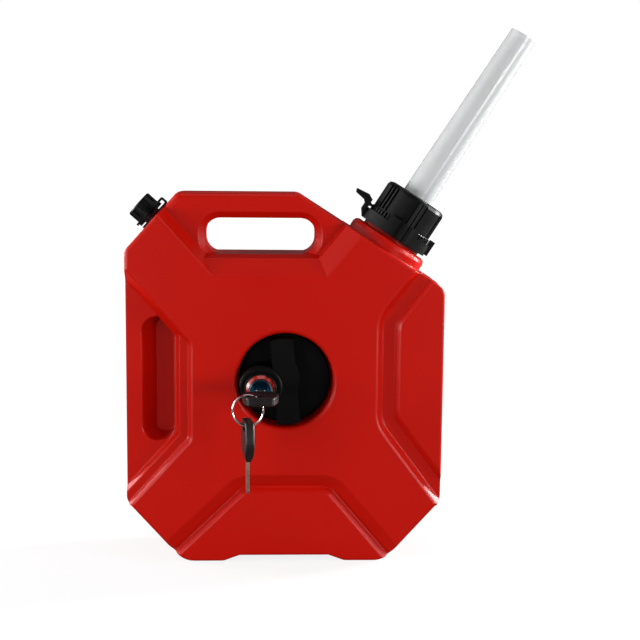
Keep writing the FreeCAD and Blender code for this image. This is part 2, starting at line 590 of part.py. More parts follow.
def can_form(doc, s, name, grow):
    """The can's form with every wall moved inwards by grow: 0 for the outside, the wall for the inside."""
    grow = dim(grow)
    margin = dim(2.0)
    front = s.depth_half + margin

    outline = front_sketch(doc, f"{name}_outline", dim(0))
    right_shoulder_z = s.height - (s.half_width - s.handle_right) * tangent(s.neck_tilt)
    left_shoulder_z = s.height - (s.half_width - s.handle_left) * tangent(s.vent_slope)
    draw_polygon(outline, [
        (-s.foot_reach, 0),
        (-s.foot_inner, 0),
        (-s.foot_inner + s.foot_ramp, s.foot_lift),
        (s.foot_inner - s.foot_ramp, s.foot_lift),
        (s.foot_inner, 0),
        (s.foot_reach, 0),
        (s.half_width, s.low_corner_z),
        (s.half_width, right_shoulder_z),
        (s.handle_right, s.height),
        (-s.handle_left, s.height),
        (-s.half_width, left_shoulder_z),
        (-s.half_width, s.low_corner_z),
    ])
    face = outline
    if grow.value > 0:
        face = doc.addObject("Part::Offset2D", f"{name}_inset")
        face.Source = outline
        face.Join = 2
        bind(face, "Value", -grow)
    block = extrude_both(doc, f"{name}_block", face, s.depth_half - grow)

    def corner(edge):
        middle = edge.CenterOfMass
        if not runs_through(edge):
            return 0
        if middle.z > s.low_corner_z.value + 20:
            return s.corner_round.value - grow.value
        if middle.z > s.low_corner_z.value / 2:
            return s.low_corner_round.value - grow.value
        if abs(middle.x) > (s.foot_inner.value + s.foot_reach.value) / 2:
            return s.foot_round.value - grow.value
        on_ramp = middle.z > s.foot_lift.value / 2 + grow.value
        return 0 if on_ramp else s.foot_inner_round.value - grow.value

    block = round_edges(doc, f"{name}_rounded", block, corner)

    step_slope = s.step_run / (s.depth_half - s.step_depth_half)
    field_run = step_slope * (s.depth_half - s.field_depth_half)
    shift = lambda *insets: tuple(dim(v) - grow for v in insets)
    cuts = [
        relief(doc, s, f"{name}_left_step", "left", [
            (front, shift(0, 0, 0)),
            (s.depth_half - grow, shift(0, 0, 0)),
            (s.step_depth_half - grow, shift(s.step_run, s.step_run, s.step_run)),
        ], s.waist_round),
        relief(doc, s, f"{name}_left_field", "left", [
            (front, shift(s.step_width, s.step_width, 0)),
            (s.step_depth_half - grow, shift(s.step_width, s.step_width, s.step_run)),
            (s.field_depth_half - grow, shift(s.step_width + s.step_run, s.step_width + s.step_run, field_run)),
        ], 0),
        relief(doc, s, f"{name}_right_groove", "right", [
            (front, shift(0, 0, 0)),
            (s.depth_half - grow, shift(0, 0, 0)),
            (s.groove_depth_half - grow, shift(s.right_run, s.right_run, s.right_run)),
        ], s.right_round),
        relief(doc, s, f"{name}_bottom_groove", "bottom", [
            (front, shift(0, 0, 0)),
            (s.depth_half - grow, shift(0, 0, 0)),
            (s.groove_depth_half - grow, shift(s.bottom_run, s.bottom_run, s.bottom_run)),
        ], s.bottom_round),
        relief(doc, s, f"{name}_handle_field", "top", [
            (front, shift(0, 0, 0)),
            (s.depth_half - grow, shift(0, 0, 0)),
            (s.ledge_depth_half - grow, shift(s.ledge_rise, s.ledge_left_run, s.ledge_right_run)),
            (s.handle_depth_half - grow,
             shift(s.ledge_z - s.top_waist, s.ledge_left_run * 2, s.ledge_right_run + 1)),
        ], 0),
    ]
    pocket = finger_pocket(doc, s, name, grow)
    cuts.append(pocket)
    cuts += [mirrored(doc, f"{cut.Name}_back", cut) for cut in cuts]

    cut = doc.addObject("Part::Cut", f"{name}_sunk")
    cut.Base = block
    cut.Tool = joined(doc, f"{name}_fields", cuts)

    panels = []
    for side, groove, corner_round in (("right", s.right_groove, s.right_panel_round),
                                       ("bottom", s.bottom_groove, s.bottom_panel_round)):
        rise = s.panel_depth_half - s.groove_depth_half
        root = groove - s.panel_run * (rise + margin) / rise
        panels.append(relief(doc, s, f"{name}_{side}_panel", side, [
            (s.panel_depth_half - grow, tuple(groove + grow for _ in range(3))),
            (s.groove_depth_half - margin - grow, tuple(root + grow for _ in range(3))),
        ], corner_round + groove))
    panels += [mirrored(doc, f"{panel.Name}_back", panel) for panel in panels]
    trimmed = doc.addObject("Part::MultiCommon", f"{name}_panels")
    trimmed.Shapes = [joined(doc, f"{name}_panel_blanks", panels), block]
    form = joined(doc, f"{name}_form", [cut, trimmed])

    def lies_at(edge, level):
        ends = all(abs(abs(point.Y) - level) < 0.02 for point in edge.Vertexes)
        return ends and abs(abs(edge.CenterOfMass.y) - level) < 0.02

    bar = s.handle_depth_half.value - grow.value

    def handle_edge(edge):
        on_bar = lies_at(edge, bar) and edge.CenterOfMass.z > s.grip_top.value + 10
        return s.grip_bevel.value - grow.value if on_bar else 0

    form = round_edges(doc, f"{name}_handle_edges", form, handle_edge)
    if grow.value == 0:
        form = round_edges(doc, f"{name}_cross_edges", form,
                           lambda edge: s.edge_round.value * lies_at(edge, s.depth_half.value))
        form = round_edges(doc, f"{name}_panel_edges", form,
                           lambda edge: s.panel_round.value * lies_at(edge, s.panel_depth_half.value))
    return form


def finger_pocket(doc, s, name, grow):
    """The sunk grip in the left field, cut off by the slope of the arm above it."""
    rim = front_sketch(doc, f"{name}_pocket_rim", s.field_depth_half + 1)
    draw_rounded(rim, -s.pocket_outer - grow, -s.pocket_inner + grow,
                 s.pocket_low - grow, s.pocket_high + grow, s.pocket_round + grow)
    floor = front_sketch(doc, f"{name}_pocket_floor", s.pocket_floor_half - grow)
    draw_rounded(floor, -s.pocket_outer + s.pocket_draft - grow, -s.pocket_inner - 1 + grow,
                 s.pocket_low + s.pocket_end_draft - grow, s.pocket_high - s.pocket_end_draft + grow,
                 s.pocket_floor_round + grow)
    hollow = loft(doc, f"{name}_pocket_loft", [rim, floor])
    step_slope = s.step_run / (s.depth_half - s.step_depth_half)
    field_run = step_slope * (s.depth_half - s.field_depth_half)
    reach = relief(doc, s, f"{name}_pocket_reach", "left", [
        (s.field_depth_half + 2, (s.step_width - grow, s.step_width - grow, field_run - grow)),
        (s.pocket_floor_half - grow - 1, (s.step_width - grow, s.step_width - grow, field_run - grow)),
    ], 0)
    pocket = doc.addObject("Part::MultiCommon", f"{name}_pocket")
    pocket.Shapes = [hollow, reach]
    return pocket


def joined(doc, name, shapes):
    """Fuses a list of forms."""
    fuse = doc.addObject("Part::MultiFuse", name)
    fuse.Shapes = shapes
    fuse.Refine = True
    return fuse


def values(*items):
    """Makes each item a Dim."""
    return [dim(item) for item in items]


class Frame:
    """A local frame: where its origin lies, and the turns that lead from the can's axes to its own."""

    def __init__(self, x, y, z, *turns):
        self.base = values(x, y, z)
        self.turns = turns

    def text(self, shift=None):
        """The placement as an expression; shift takes the whole object's origin off."""
        x, y, z = self.base
        if shift:
            x = x - shift.origin_x
            y = y - shift.origin_y
        rotation = " * ".join(
            f"create(<<rotation>>; create(<<vector>>; {axis}); {dim(angle).text})"
            for axis, angle in self.turns
        ) or "create(<<rotation>>; create(<<vector>>; 0; 0; 1); 0)"
        return f"create(<<placement>>; create(<<vector>>; {x.text}; {y.text}; {z.text}); {rotation})"


def place(thing, frame, shift=None):
    """Puts a form at a frame."""
    thing.setExpression("Placement", frame.text(shift))
    return thing


def can_frame():
    return Frame(0, 0, 0)


def neck_frame(s):
    """Z outwards along the neck, X down the shoulder."""
    x = s.handle_right + s.neck_along * cosine(s.neck_tilt)
    z = s.height - s.neck_along * sine(s.neck_tilt)
    return Frame(x, 0, z, ("0; 1; 0", s.neck_tilt))


def vent_frame(s):
    """Z outwards along the vent, X up the shoulder."""
    x = -s.handle_left - s.vent_along * cosine(s.vent_slope)
    z = s.height - s.vent_along * sine(s.vent_slope)
    return Frame(x, 0, z, ("0; 1; 0", -s.vent_slope))


def well_frame(s):
    """Z out of the front of the well, Y up."""
    return Frame(0, 0, s.well_z, ("1; 0; 0", 90))


def knob_frame(s):
    """The well's frame, turned with the knob."""
    return Frame(0, 0, s.well_z, ("1; 0; 0", 90), ("0; 0; 1", s.knob_angle))


def lock_centre(s):
    """Where the lock's axis crosses the parting plane, in X and Z."""
    x = -s.lock_offset * cosine(s.knob_angle) + s.lock_drop * sine(s.knob_angle)
    z = s.well_z - s.lock_offset * sine(s.knob_angle) - s.lock_drop * cosine(s.knob_angle)
    return x, z


def lock_frame(s):
    """Z out of the lock, Y up."""
    x, z = lock_centre(s)
    return Frame(x, 0, z, ("1; 0; 0", 90))


def cylinder(doc, name, radius, low, high, x=0, y=0):
    """A cylinder along Z."""
    radius, low, high, x, y = values(radius, low, high, x, y)
    solid = doc.addObject("Part::Cylinder", name)
    bind(solid, "Radius", radius)
    bind(solid, "Height", high - low)
    bind(solid, "Placement.Base.x", x)
    bind(solid, "Placement.Base.y", y)
    bind(solid, "Placement.Base.z", low)
    return solid


def box(doc, name, x_low, x_high, y_low, y_high, z_low, z_high, turn=0):
    """A box between six planes, turned about Z by turn degrees."""
    x_low, x_high, y_low, y_high, z_low, z_high, turn = values(
        x_low, x_high, y_low, y_high, z_low, z_high, turn)
    solid = doc.addObject("Part::Box", name)
    bind(solid, "Length", x_high - x_low)
    bind(solid, "Width", y_high - y_low)
    bind(solid, "Height", z_high - z_low)
    solid.setExpression(
        "Placement",
        f"create(<<placement>>; create(<<vector>>; 0; 0; 0); "
        f"create(<<rotation>>; create(<<vector>>; 0; 0; 1); {turn.text})) * "
        f"create(<<placement>>; create(<<vector>>; {x_low.text}; {y_low.text}; {z_low.text}); "
        f"create(<<rotation>>; create(<<vector>>; 0; 0; 1); 0))",
    )
    return solid


def side_sketch(doc, name, points):
    """A closed polygon in the local XZ plane, given as (x, z) corners."""
    sketch = doc.addObject("Sketcher::SketchObject", name)
    sketch.Placement = Placement(Vector(0, 0, 0), Rotation(Vector(1, 0, 0), 90))
    draw_polygon(sketch, points)
    return sketch


def revolved(doc, name, points):
    """Turns a closed (radius, height) polygon about Z."""
    solid = doc.addObject("Part::Revolution", name)
    solid.Source = side_sketch(doc, f"{name}_profile", points)
    solid.Axis = Vector(0, 0, 1)
    solid.Angle = 360
    solid.Solid = True
    return solid


def ring(doc, name, inner, outer, low, high):
    """A plain ring."""
    return revolved(doc, name, [(inner, low), (outer, low), (outer, high), (inner, high)])


def rod(doc, name, radius, low, high):
    """A round rod that can be placed at a frame of its own."""
    return revolved(doc, name, [(0, low), (radius, low), (radius, high), (0, high)])


def slab(doc, name, points, half):
    """A closed (x, z) polygon with the same thickness to either side of the local XZ plane."""
    return extrude_both(doc, name, side_sketch(doc, f"{name}_profile", points), half)


def cut(doc, name, base, tools):
    """Takes tools away from base."""
    result = doc.addObject("Part::Cut", name)
    result.Base = base
    result.Tool = tools[0] if len(tools) == 1 else joined(doc, f"{name}_tools", tools)
    result.Refine = True
    return result


def handle_hole(doc, s, name, grow):
    """The opening under the handle, with a bevelled mouth on either face."""
    grow = dim(grow)
    level = front_sketch(doc, f"{name}_middle", dim(0))

    def drawn(sketch, extra):
        draw_rounded(sketch, -s.grip_left - extra, s.grip_right + extra,
                     s.ledge_z - extra, s.grip_top + extra, s.grip_round + extra)

    drawn(level, grow)
    forms = [extrude_both(doc, f"{name}_through", level, s.depth_half)]
    slope = s.grip_bevel + grow * dim(math.sqrt(2))
    mouth = front_sketch(doc, f"{name}_mouth", s.handle_depth_half + 1)
    drawn(mouth, slope + 1)
    throat = front_sketch(doc, f"{name}_throat", s.handle_depth_half - slope + grow)
    drawn(throat, grow)
    above = box(doc, f"{name}_above", -s.half_width, s.half_width, -s.depth_half, s.depth_half,
                s.ledge_z - grow, s.height)
    bevel = doc.addObject("Part::MultiCommon", f"{name}_bevel")
    bevel.Shapes = [loft(doc, f"{name}_bevel_form", [mouth, throat]), above]
    forms += [bevel, mirrored(doc, f"{name}_bevel_back", bevel)]
    return joined(doc, name, forms)


def well_tool(doc, s, name, grow):
    """The stepped opening through the middle, along Y."""
    grow = dim(grow)
    reach = s.depth_half + 20
    front = cylinder(doc, f"{name}_front", s.well_radius + grow, s.well_floor - grow, reach)
    bore = cylinder(doc, f"{name}_bore", s.bore_radius + grow, -reach, reach)
    rear = cylinder(doc, f"{name}_rear", s.rear_well_radius + grow, -reach, -s.rear_well_floor + grow)
    return place(joined(doc, name, [front, bore, rear]), well_frame(s))


def build_can(doc, s):
    """The blown can: outside form, neck, vent and well, and the fuel space inside it."""
    outside = can_form(doc, s, "outside", 0)
    sunk = dim(-6.0)
    neck = neck_frame(s)
    vent = vent_frame(s)
    boss = revolved(doc, "neck_solid", [
        (0, sunk), (s.boss_radius, sunk),
        (s.boss_radius, s.boss_top - s.boss_round),
        (s.boss_radius - s.boss_round * 0.3, s.boss_top - s.boss_round * 0.3),
        (s.boss_radius - s.boss_round, s.boss_top),
        (s.root_radius, s.boss_top), (s.root_radius, s.root_top),
        (s.neck_radius, s.root_top), (s.neck_radius, s.neck_top), (0, s.neck_top),
    ])
    vent_stub = rod(doc, "vent_solid", s.vent_radius, sunk, s.vent_top)
    solid = joined(doc, "can_solid", [outside, place(boss, neck), place(vent_stub, vent)])
    opened = cut(doc, "can_opened", solid, [
        well_tool(doc, s, "well", 0), handle_hole(doc, s, "handle_hole", 0)])

    def well_rim(edge):
        box_ = edge.BoundBox
        on_face = box_.YLength < 0.01 and abs(box_.YMin + s.depth_half.value) < 0.05
        on_rim = on_face and abs(box_.XLength - 2 * s.well_radius.value) < 1.0
        return s.well_round.value * on_rim

    rounded = round_edges(doc, "can_rounded", opened, well_rim)

    inside = can_form(doc, s, "inside", s.wall)
    sleeved = cut(doc, "inside_sleeved", inside, [
        well_tool(doc, s, "well_sleeve", s.wall), handle_hole(doc, s, "handle_sleeve", s.wall)])
    hollow = revolved(doc, "neck_hollow", [
        (0, sunk), (s.boss_radius - s.wall, sunk),
        (s.boss_radius - s.wall, s.boss_top - s.boss_round),
        (s.boss_radius - s.boss_round, s.boss_top - s.wall),
        (s.root_radius - s.wall, s.boss_top - s.wall), (s.root_radius - s.wall, s.root_top - s.wall),
        (s.neck_bore, s.root_top - s.wall), (s.neck_bore, s.neck_top + 1), (0, s.neck_top + 1),
    ])
    vent_bore = rod(doc, "vent_bore", s.vent_bore, sunk, s.vent_top + 1)
    cavity = joined(doc, "fuel_space", [sleeved, place(hollow, neck), place(vent_bore, vent)])
    return cut(doc, "can_body", rounded, [cavity])


def sector(doc, name, s, inner, outer, low, high, middle):
    """A block that follows the lock ring's wall, middle degrees round from X."""
    blank = ring(doc, f"{name}_ring", inner, outer, low, high)
    half = s.block_angle / 2
    reach = s.ring_radius * 2
    corners = [(0, 0), (reach * cosine(half), -reach * sine(half)), (reach * cosine(half), reach * sine(half))]
    wedge_sketch = doc.addObject("Sketcher::SketchObject", f"{name}_wedge")
    draw_polygon(wedge_sketch, corners)
    wedge = doc.addObject("Part::Extrusion", f"{name}_slice")
    wedge.Base = wedge_sketch
    wedge.DirMode = "Normal"
    wedge.Solid = True
    bind(wedge, "LengthFwd", s.spout_length)
    wedge.Placement = Placement(Vector(0, 0, 0), Rotation(Vector(0, 0, 1), middle))
    both = doc.addObject("Part::MultiCommon", name)
    both.Shapes = [blank, wedge]
    return both


def build_neck_parts(doc, s):
    """Lock ring, release tab, collar, gasket and spout, each in the neck's frame."""
    floor = s.root_top
    inner = s.neck_radius + s.ring_bore_gap
    wall_in = s.ring_radius - s.ring_wall
    wall_top = floor + s.ring_height
    block_top = floor + s.block_height
    pieces = [
        ring(doc, "ring_floor_disc", inner, s.ring_radius, floor, floor + s.ring_floor),
        ring(doc, "ring_wall_band", wall_in, s.ring_radius, floor, wall_top),
    ]
    for side, middle in (("front", -90), ("back", 90)):
        pieces.append(sector(doc, f"ring_block_{side}", s, wall_in, wall_in + s.block_thick,
                             floor + 1, block_top, middle))
        for number in range(int(s.block_rib_count.value)):
            along = s.block_rib_pitch * (number - (s.block_rib_count - 1) / 2)
            pieces.append(box(doc, f"ring_rib_{side}_{number}",
                              wall_in + 1, s.ring_radius + 1 + s.block_rib,
                              along - s.block_rib_width / 2, along + s.block_rib_width / 2,
                              floor + 1, block_top, middle))
    pieces.append(box(doc, "stop_lug", wall_in, s.lug_reach, -s.lug_width / 2, s.lug_width / 2,
                      floor + 1.5, floor + s.lug_height))
    low = floor + s.tab_foot
    top = low + s.tab_rise
    outer = -s.ring_radius - s.tab_thick
    near = outer + s.tab_thick
    window = box(doc, "tab_window", -s.ring_radius - 1, -wall_in + 1,
                 -s.tab_width / 2 - 1, s.tab_width / 2 + 1, low, block_top)
    foot = slab(doc, "tab_lug", [
        (-wall_in - 0.4, floor), (-wall_in - 0.4, low), (outer, low), (outer, low - 0.8),
        (outer + s.tab_foot - 2.2, floor)], s.tab_width / 2)
    bend = Frame(outer + s.tab_thick / 2, 0, low, ("1; 0; 0", 90))
    hollow = place(rod(doc, "tab_hollow", s.tab_thick / 2 + s.tab_gap, -s.tab_width, s.tab_width), bend)
    lock_ring = cut(doc, "lock_ring", joined(doc, "lock_ring_solid", pieces + [foot]), [window, hollow])

    nose = -s.teeth_radius - s.tab_nose_gap
    tip = outer - s.tab_reach
    tongue = slab(doc, "tab_blank", [
        (near, low), (near, top - 7.9), (nose, top - 7.4), (nose, top - 5.6), (near, top - 4.9),
        (near, top - 2.4), (outer - 1, top), (tip, top - s.tab_droop), (tip - 0.3, top - s.tab_droop - 0.9),
        (tip + 0.8, top - s.tab_droop - s.tab_tongue), (outer - 1.8, top - s.tab_tongue - 2.6),
        (outer, top - s.tab_tongue - 4.4), (outer, low),
    ], s.tab_width / 2)
    knuckle = place(rod(doc, "tab_knuckle", s.tab_thick / 2, -s.tab_width / 2, s.tab_width / 2), bend)
    release_tab = joined(doc, "release_tab", [tongue, knuckle])

    base = floor + s.ring_floor + s.collar_gap
    skirt = base + s.teeth_height
    seat = s.neck_top + s.gasket_thick + s.flange_thick + s.running_gap
    collar_top = seat + s.collar_wall
    bore = s.neck_radius + s.thread_clearance
    hole = s.spout_root_radius + s.spout_clearance
    ease = s.collar_round * 0.3
    shell = revolved(doc, "collar_shell", [
        (bore, base), (s.teeth_radius, base), (s.teeth_radius, skirt - 0.6), (s.teeth_radius - 0.5, skirt),
        (s.collar_radius, skirt), (s.collar_radius, collar_top - s.collar_round),
        (s.collar_radius - ease, collar_top - ease), (s.collar_radius - s.collar_round, collar_top),
        (hole, collar_top), (hole, seat), (bore, seat),
    ])
    tools = []
    slots = int(s.teeth_count.value)
    for i in range(slots):
        tools.append(box(doc, f"tooth_slot_{i}", s.teeth_radius - s.teeth_depth, s.teeth_radius + 2,
                         -s.teeth_slot / 2, s.teeth_slot / 2, base - 1, skirt + 0.01,
                         dim(360) / s.teeth_count * (i + 0.5)))
    for i in range(int(s.grip_pairs.value)):
        for j in (-1, 0, 1):
            angle = dim(360) / s.grip_pairs * i + s.grip_step * j + s.grip_phase
            tools.append(box(doc, f"grip_groove_{i}_{j + 1}", s.collar_radius - s.grip_depth,
                             s.collar_radius + 2, -s.grip_width / 2, s.grip_width / 2,
                             skirt + 0.7, skirt + 0.7 + s.grip_length, angle))
    spout_collar = cut(doc, "spout_collar", shell, tools)

    gasket_low = s.neck_top
    gasket_high = gasket_low + s.gasket_thick
    spout_gasket = ring(doc, "spout_gasket", s.neck_bore + 0.1, s.gasket_radius, gasket_low, gasket_high)

    flange_top = gasket_high + s.flange_thick
    end = flange_top + s.spout_length
    tube = revolved(doc, "spout_blank", [
        (s.spout_root_radius - s.spout_wall, gasket_high), (s.gasket_radius, gasket_high),
        (s.gasket_radius, flange_top), (s.spout_root_radius, flange_top),
        (s.spout_tip_radius, end), (s.spout_tip_radius - s.spout_wall, end),
    ])
    lean = (s.spout_root_radius - s.spout_tip_radius) / s.spout_length
    rings = []
    for i in range(int(s.spout_rings.value)):
        along = s.spout_ring_start + s.spout_ring_pitch * i
        radius = s.spout_root_radius - lean * along
        height = flange_top + along
        half = s.spout_ring_width / 2
        rings.append(revolved(doc, f"spout_ring_{i}", [
            (radius - s.spout_ring_depth, height), (radius + 0.6, height - half * 2),
            (radius + 0.6, height + half * 2)]))
    spout_tube = cut(doc, "spout_tube", tube, rings)
    return [lock_ring, release_tab, spout_collar, spout_gasket, spout_tube]


def build_vent_parts(doc, s):
    """Vent cap, its gasket and its tether, each in the vent's frame."""
    seat = s.vent_top + s.vent_gasket_thick
    top = seat + s.cap_top_wall
    inner = s.vent_radius + s.thread_clearance
    flare = s.cap_radius + s.cap_flare
    blank = revolved(doc, "cap_blank", [
        (inner, s.cap_bottom), (flare, s.cap_bottom), (flare, s.cap_bottom + s.cap_flare_height),
        (s.cap_radius, s.cap_bottom + s.cap_flare_height + s.cap_taper_height),
        (s.cap_radius, top - 0.9), (s.cap_radius - 0.9, top), (0, top), (0, seat), (inner, seat),
    ])
    grooves = []
    for i in range(int(s.cap_groove_count.value)):
        grooves.append(box(doc, f"cap_groove_{i}", s.cap_radius - s.cap_groove_depth, s.cap_radius + 2,
                           -s.cap_groove_width / 2, s.cap_groove_width / 2,
                           top - 1.2 - s.cap_groove_length, top - 1.2, dim(360) / s.cap_groove_count * i))
    vent_cap = cut(doc, "vent_cap", blank, grooves)
    gasket = cylinder(doc, "gasket_disc", s.vent_gasket_radius, s.vent_top, seat - s.running_gap)

    bottom = s.tether_bottom
    level = bottom + s.tether_thick
    loop_in = flare + s.tether_gap
    loop_out = loop_in + s.tether_ring_wall
    loop_low = s.cap_bottom + s.cap_flare_height + 0.6
    loop_high = loop_low + s.tether_thick
    bow = s.tether_radius + 4
    strap = slab(doc, "tether_strap_bow", [
        (s.tether_radius - 1, bottom), (bow - 1, bottom), (bow, bottom + 1), (bow, loop_high - 1),
        (bow - 1, loop_high), (loop_out - 1, loop_high), (loop_out - 1, loop_low),
        (bow - s.tether_strap - 0.4, loop_low), (bow - s.tether_strap, loop_low - 0.4),
        (bow - s.tether_strap, level + 0.4), (bow - s.tether_strap - 0.4, level), (s.tether_radius - 1, level),
    ], s.tether_width / 2)
    tether = joined(doc, "vent_tether", [
        ring(doc, "tether_neck_ring", s.vent_radius + s.tether_gap, s.tether_radius, bottom, level),
        ring(doc, "tether_cap_ring", loop_in, loop_out, loop_low, loop_high),
        strap,
    ])
    return [vent_cap, gasket, tether]


def levels(s):
    """Heights along the well's axis, out of the front, from the parting plane."""
    disc_low = s.well_floor + s.washer_thick
    disc_top = disc_low + s.disc_thick
    housing_top = disc_top + s.housing_height
    flange_top = housing_top + s.barrel_flange_thick
    bezel_top = flange_top + s.bezel_height
    face = bezel_top + s.plug_proud
    tail = s.barrel_rear - s.plug_tail
    return SimpleNamespace(
        disc_low=disc_low, disc_top=disc_top, bar_top=disc_top + s.bar_height, housing_top=housing_top,
        flange_top=flange_top, bezel_top=bezel_top, face=face, tail=tail,
        hub_low=disc_low - s.hub_depth, cam_low=tail - s.plug_seat_length,
        head_low=disc_low - s.hub_depth + 3, key_tip=face - s.key_insert,
        head_front=face - s.key_insert + s.key_blade_length,
    )


def build_knob_parts(doc, s):
    """Washer, knob and stud, in the knob's frame."""
    z = levels(s)
    washer = ring(doc, "knob_washer", s.washer_inner, s.washer_outer, s.well_floor, z.disc_low)

    blank = revolved(doc, "knob_disc", [
        (0, z.disc_low), (s.disc_radius - 0.6, z.disc_low), (s.disc_radius, z.disc_low + 0.6),
        (s.disc_radius, z.disc_top - 1.2), (s.disc_radius - 1.2, z.disc_top), (0, z.disc_top)])
    hub = cylinder(doc, "knob_hub", s.hub_radius, z.hub_low, z.disc_low + 1)
    bar_blank = doc.addObject("Part::MultiCommon", "bar_blank")
    bar_blank.Shapes = [
        box(doc, "bar_block", -s.bar_width / 2, s.bar_width / 2,
            -s.disc_radius, s.disc_radius, z.disc_low + 1, z.bar_top),
        cylinder(doc, "bar_reach", s.bar_length / 2, z.disc_low, z.bar_top + 1),
    ]
    scallops = []
    for side, sign in (("left", -1), ("right", 1)):
        edge = (s.bar_width / 2 + s.bar_wave_radius - s.bar_wave_depth) * sign
        for i in range(int(s.bar_wave_count.value)):
            along = s.bar_wave_pitch * (i - (s.bar_wave_count - 1) / 2)
            scallops.append(cylinder(doc, f"scallop_{side}_{i}", s.bar_wave_radius, z.disc_top,
                                     z.bar_top + 1, edge, along))
    waved = cut(doc, "bar_waved", bar_blank, scallops)
    bulge = cylinder(doc, "bar_bulge", s.bulge_radius, z.disc_low + 1, z.bar_top,
                     s.bar_width / 2 + s.bulge_out - s.bulge_radius, s.bulge_rise)
    beside = box(doc, "bulge_side", 0, s.bar_width, -s.bar_length / 2, s.bar_length / 2,
                 z.disc_low, z.bar_top + 1)
    bulge_part = doc.addObject("Part::MultiCommon", "bulge_part")
    bulge_part.Shapes = [bulge, beside]
    bar = joined(doc, "knob_bar", [waved, bulge_part])
    housing = revolved(doc, "housing_blank", [
        (0, z.disc_low + 1), (s.housing_radius, z.disc_low + 1),
        (s.housing_radius, z.housing_top - s.housing_round),
        (s.housing_radius - s.housing_round * 0.076, z.housing_top - s.housing_round * 0.617),
        (s.housing_radius - s.housing_round * 0.293, z.housing_top - s.housing_round * 0.293),
        (s.housing_radius - s.housing_round * 0.617, z.housing_top - s.housing_round * 0.076),
        (s.housing_radius - s.housing_round, z.housing_top), (0, z.housing_top)])
    bind(housing, "Placement.Base.x", -s.lock_offset)
    bind(housing, "Placement.Base.y", -s.lock_drop)
    in_disc = doc.addObject("Part::MultiCommon", "housing_trimmed")
    in_disc.Shapes = [housing, cylinder(doc, "disc_column", s.disc_radius - 0.4, z.disc_low, z.housing_top)]
    solid = joined(doc, "knob_solid", [blank, hub, bar, in_disc])
    knob = cut(doc, "knob", solid, [
        cylinder(doc, "stud_hole", s.stud_radius, z.hub_low - 1, z.head_low + 1),
        cylinder(doc, "stud_head_seat", s.stud_head_radius, z.head_low, z.head_low + s.stud_head_thick),
        cylinder(doc, "barrel_hole", s.barrel_radius, z.disc_low - 1, z.housing_top + 1,
                 -s.lock_offset, -s.lock_drop),
    ])
    shank_low = z.head_low - s.stud_length
    stud = revolved(doc, "knob_stud", [
        (0, shank_low), (s.stud_radius - 1, shank_low), (s.stud_radius, shank_low + 1),
        (s.stud_radius, z.head_low), (s.stud_head_radius, z.head_low),
        (s.stud_head_radius, z.head_low + s.stud_head_thick), (0, z.head_low + s.stud_head_thick)])
    return [washer, knob, stud]


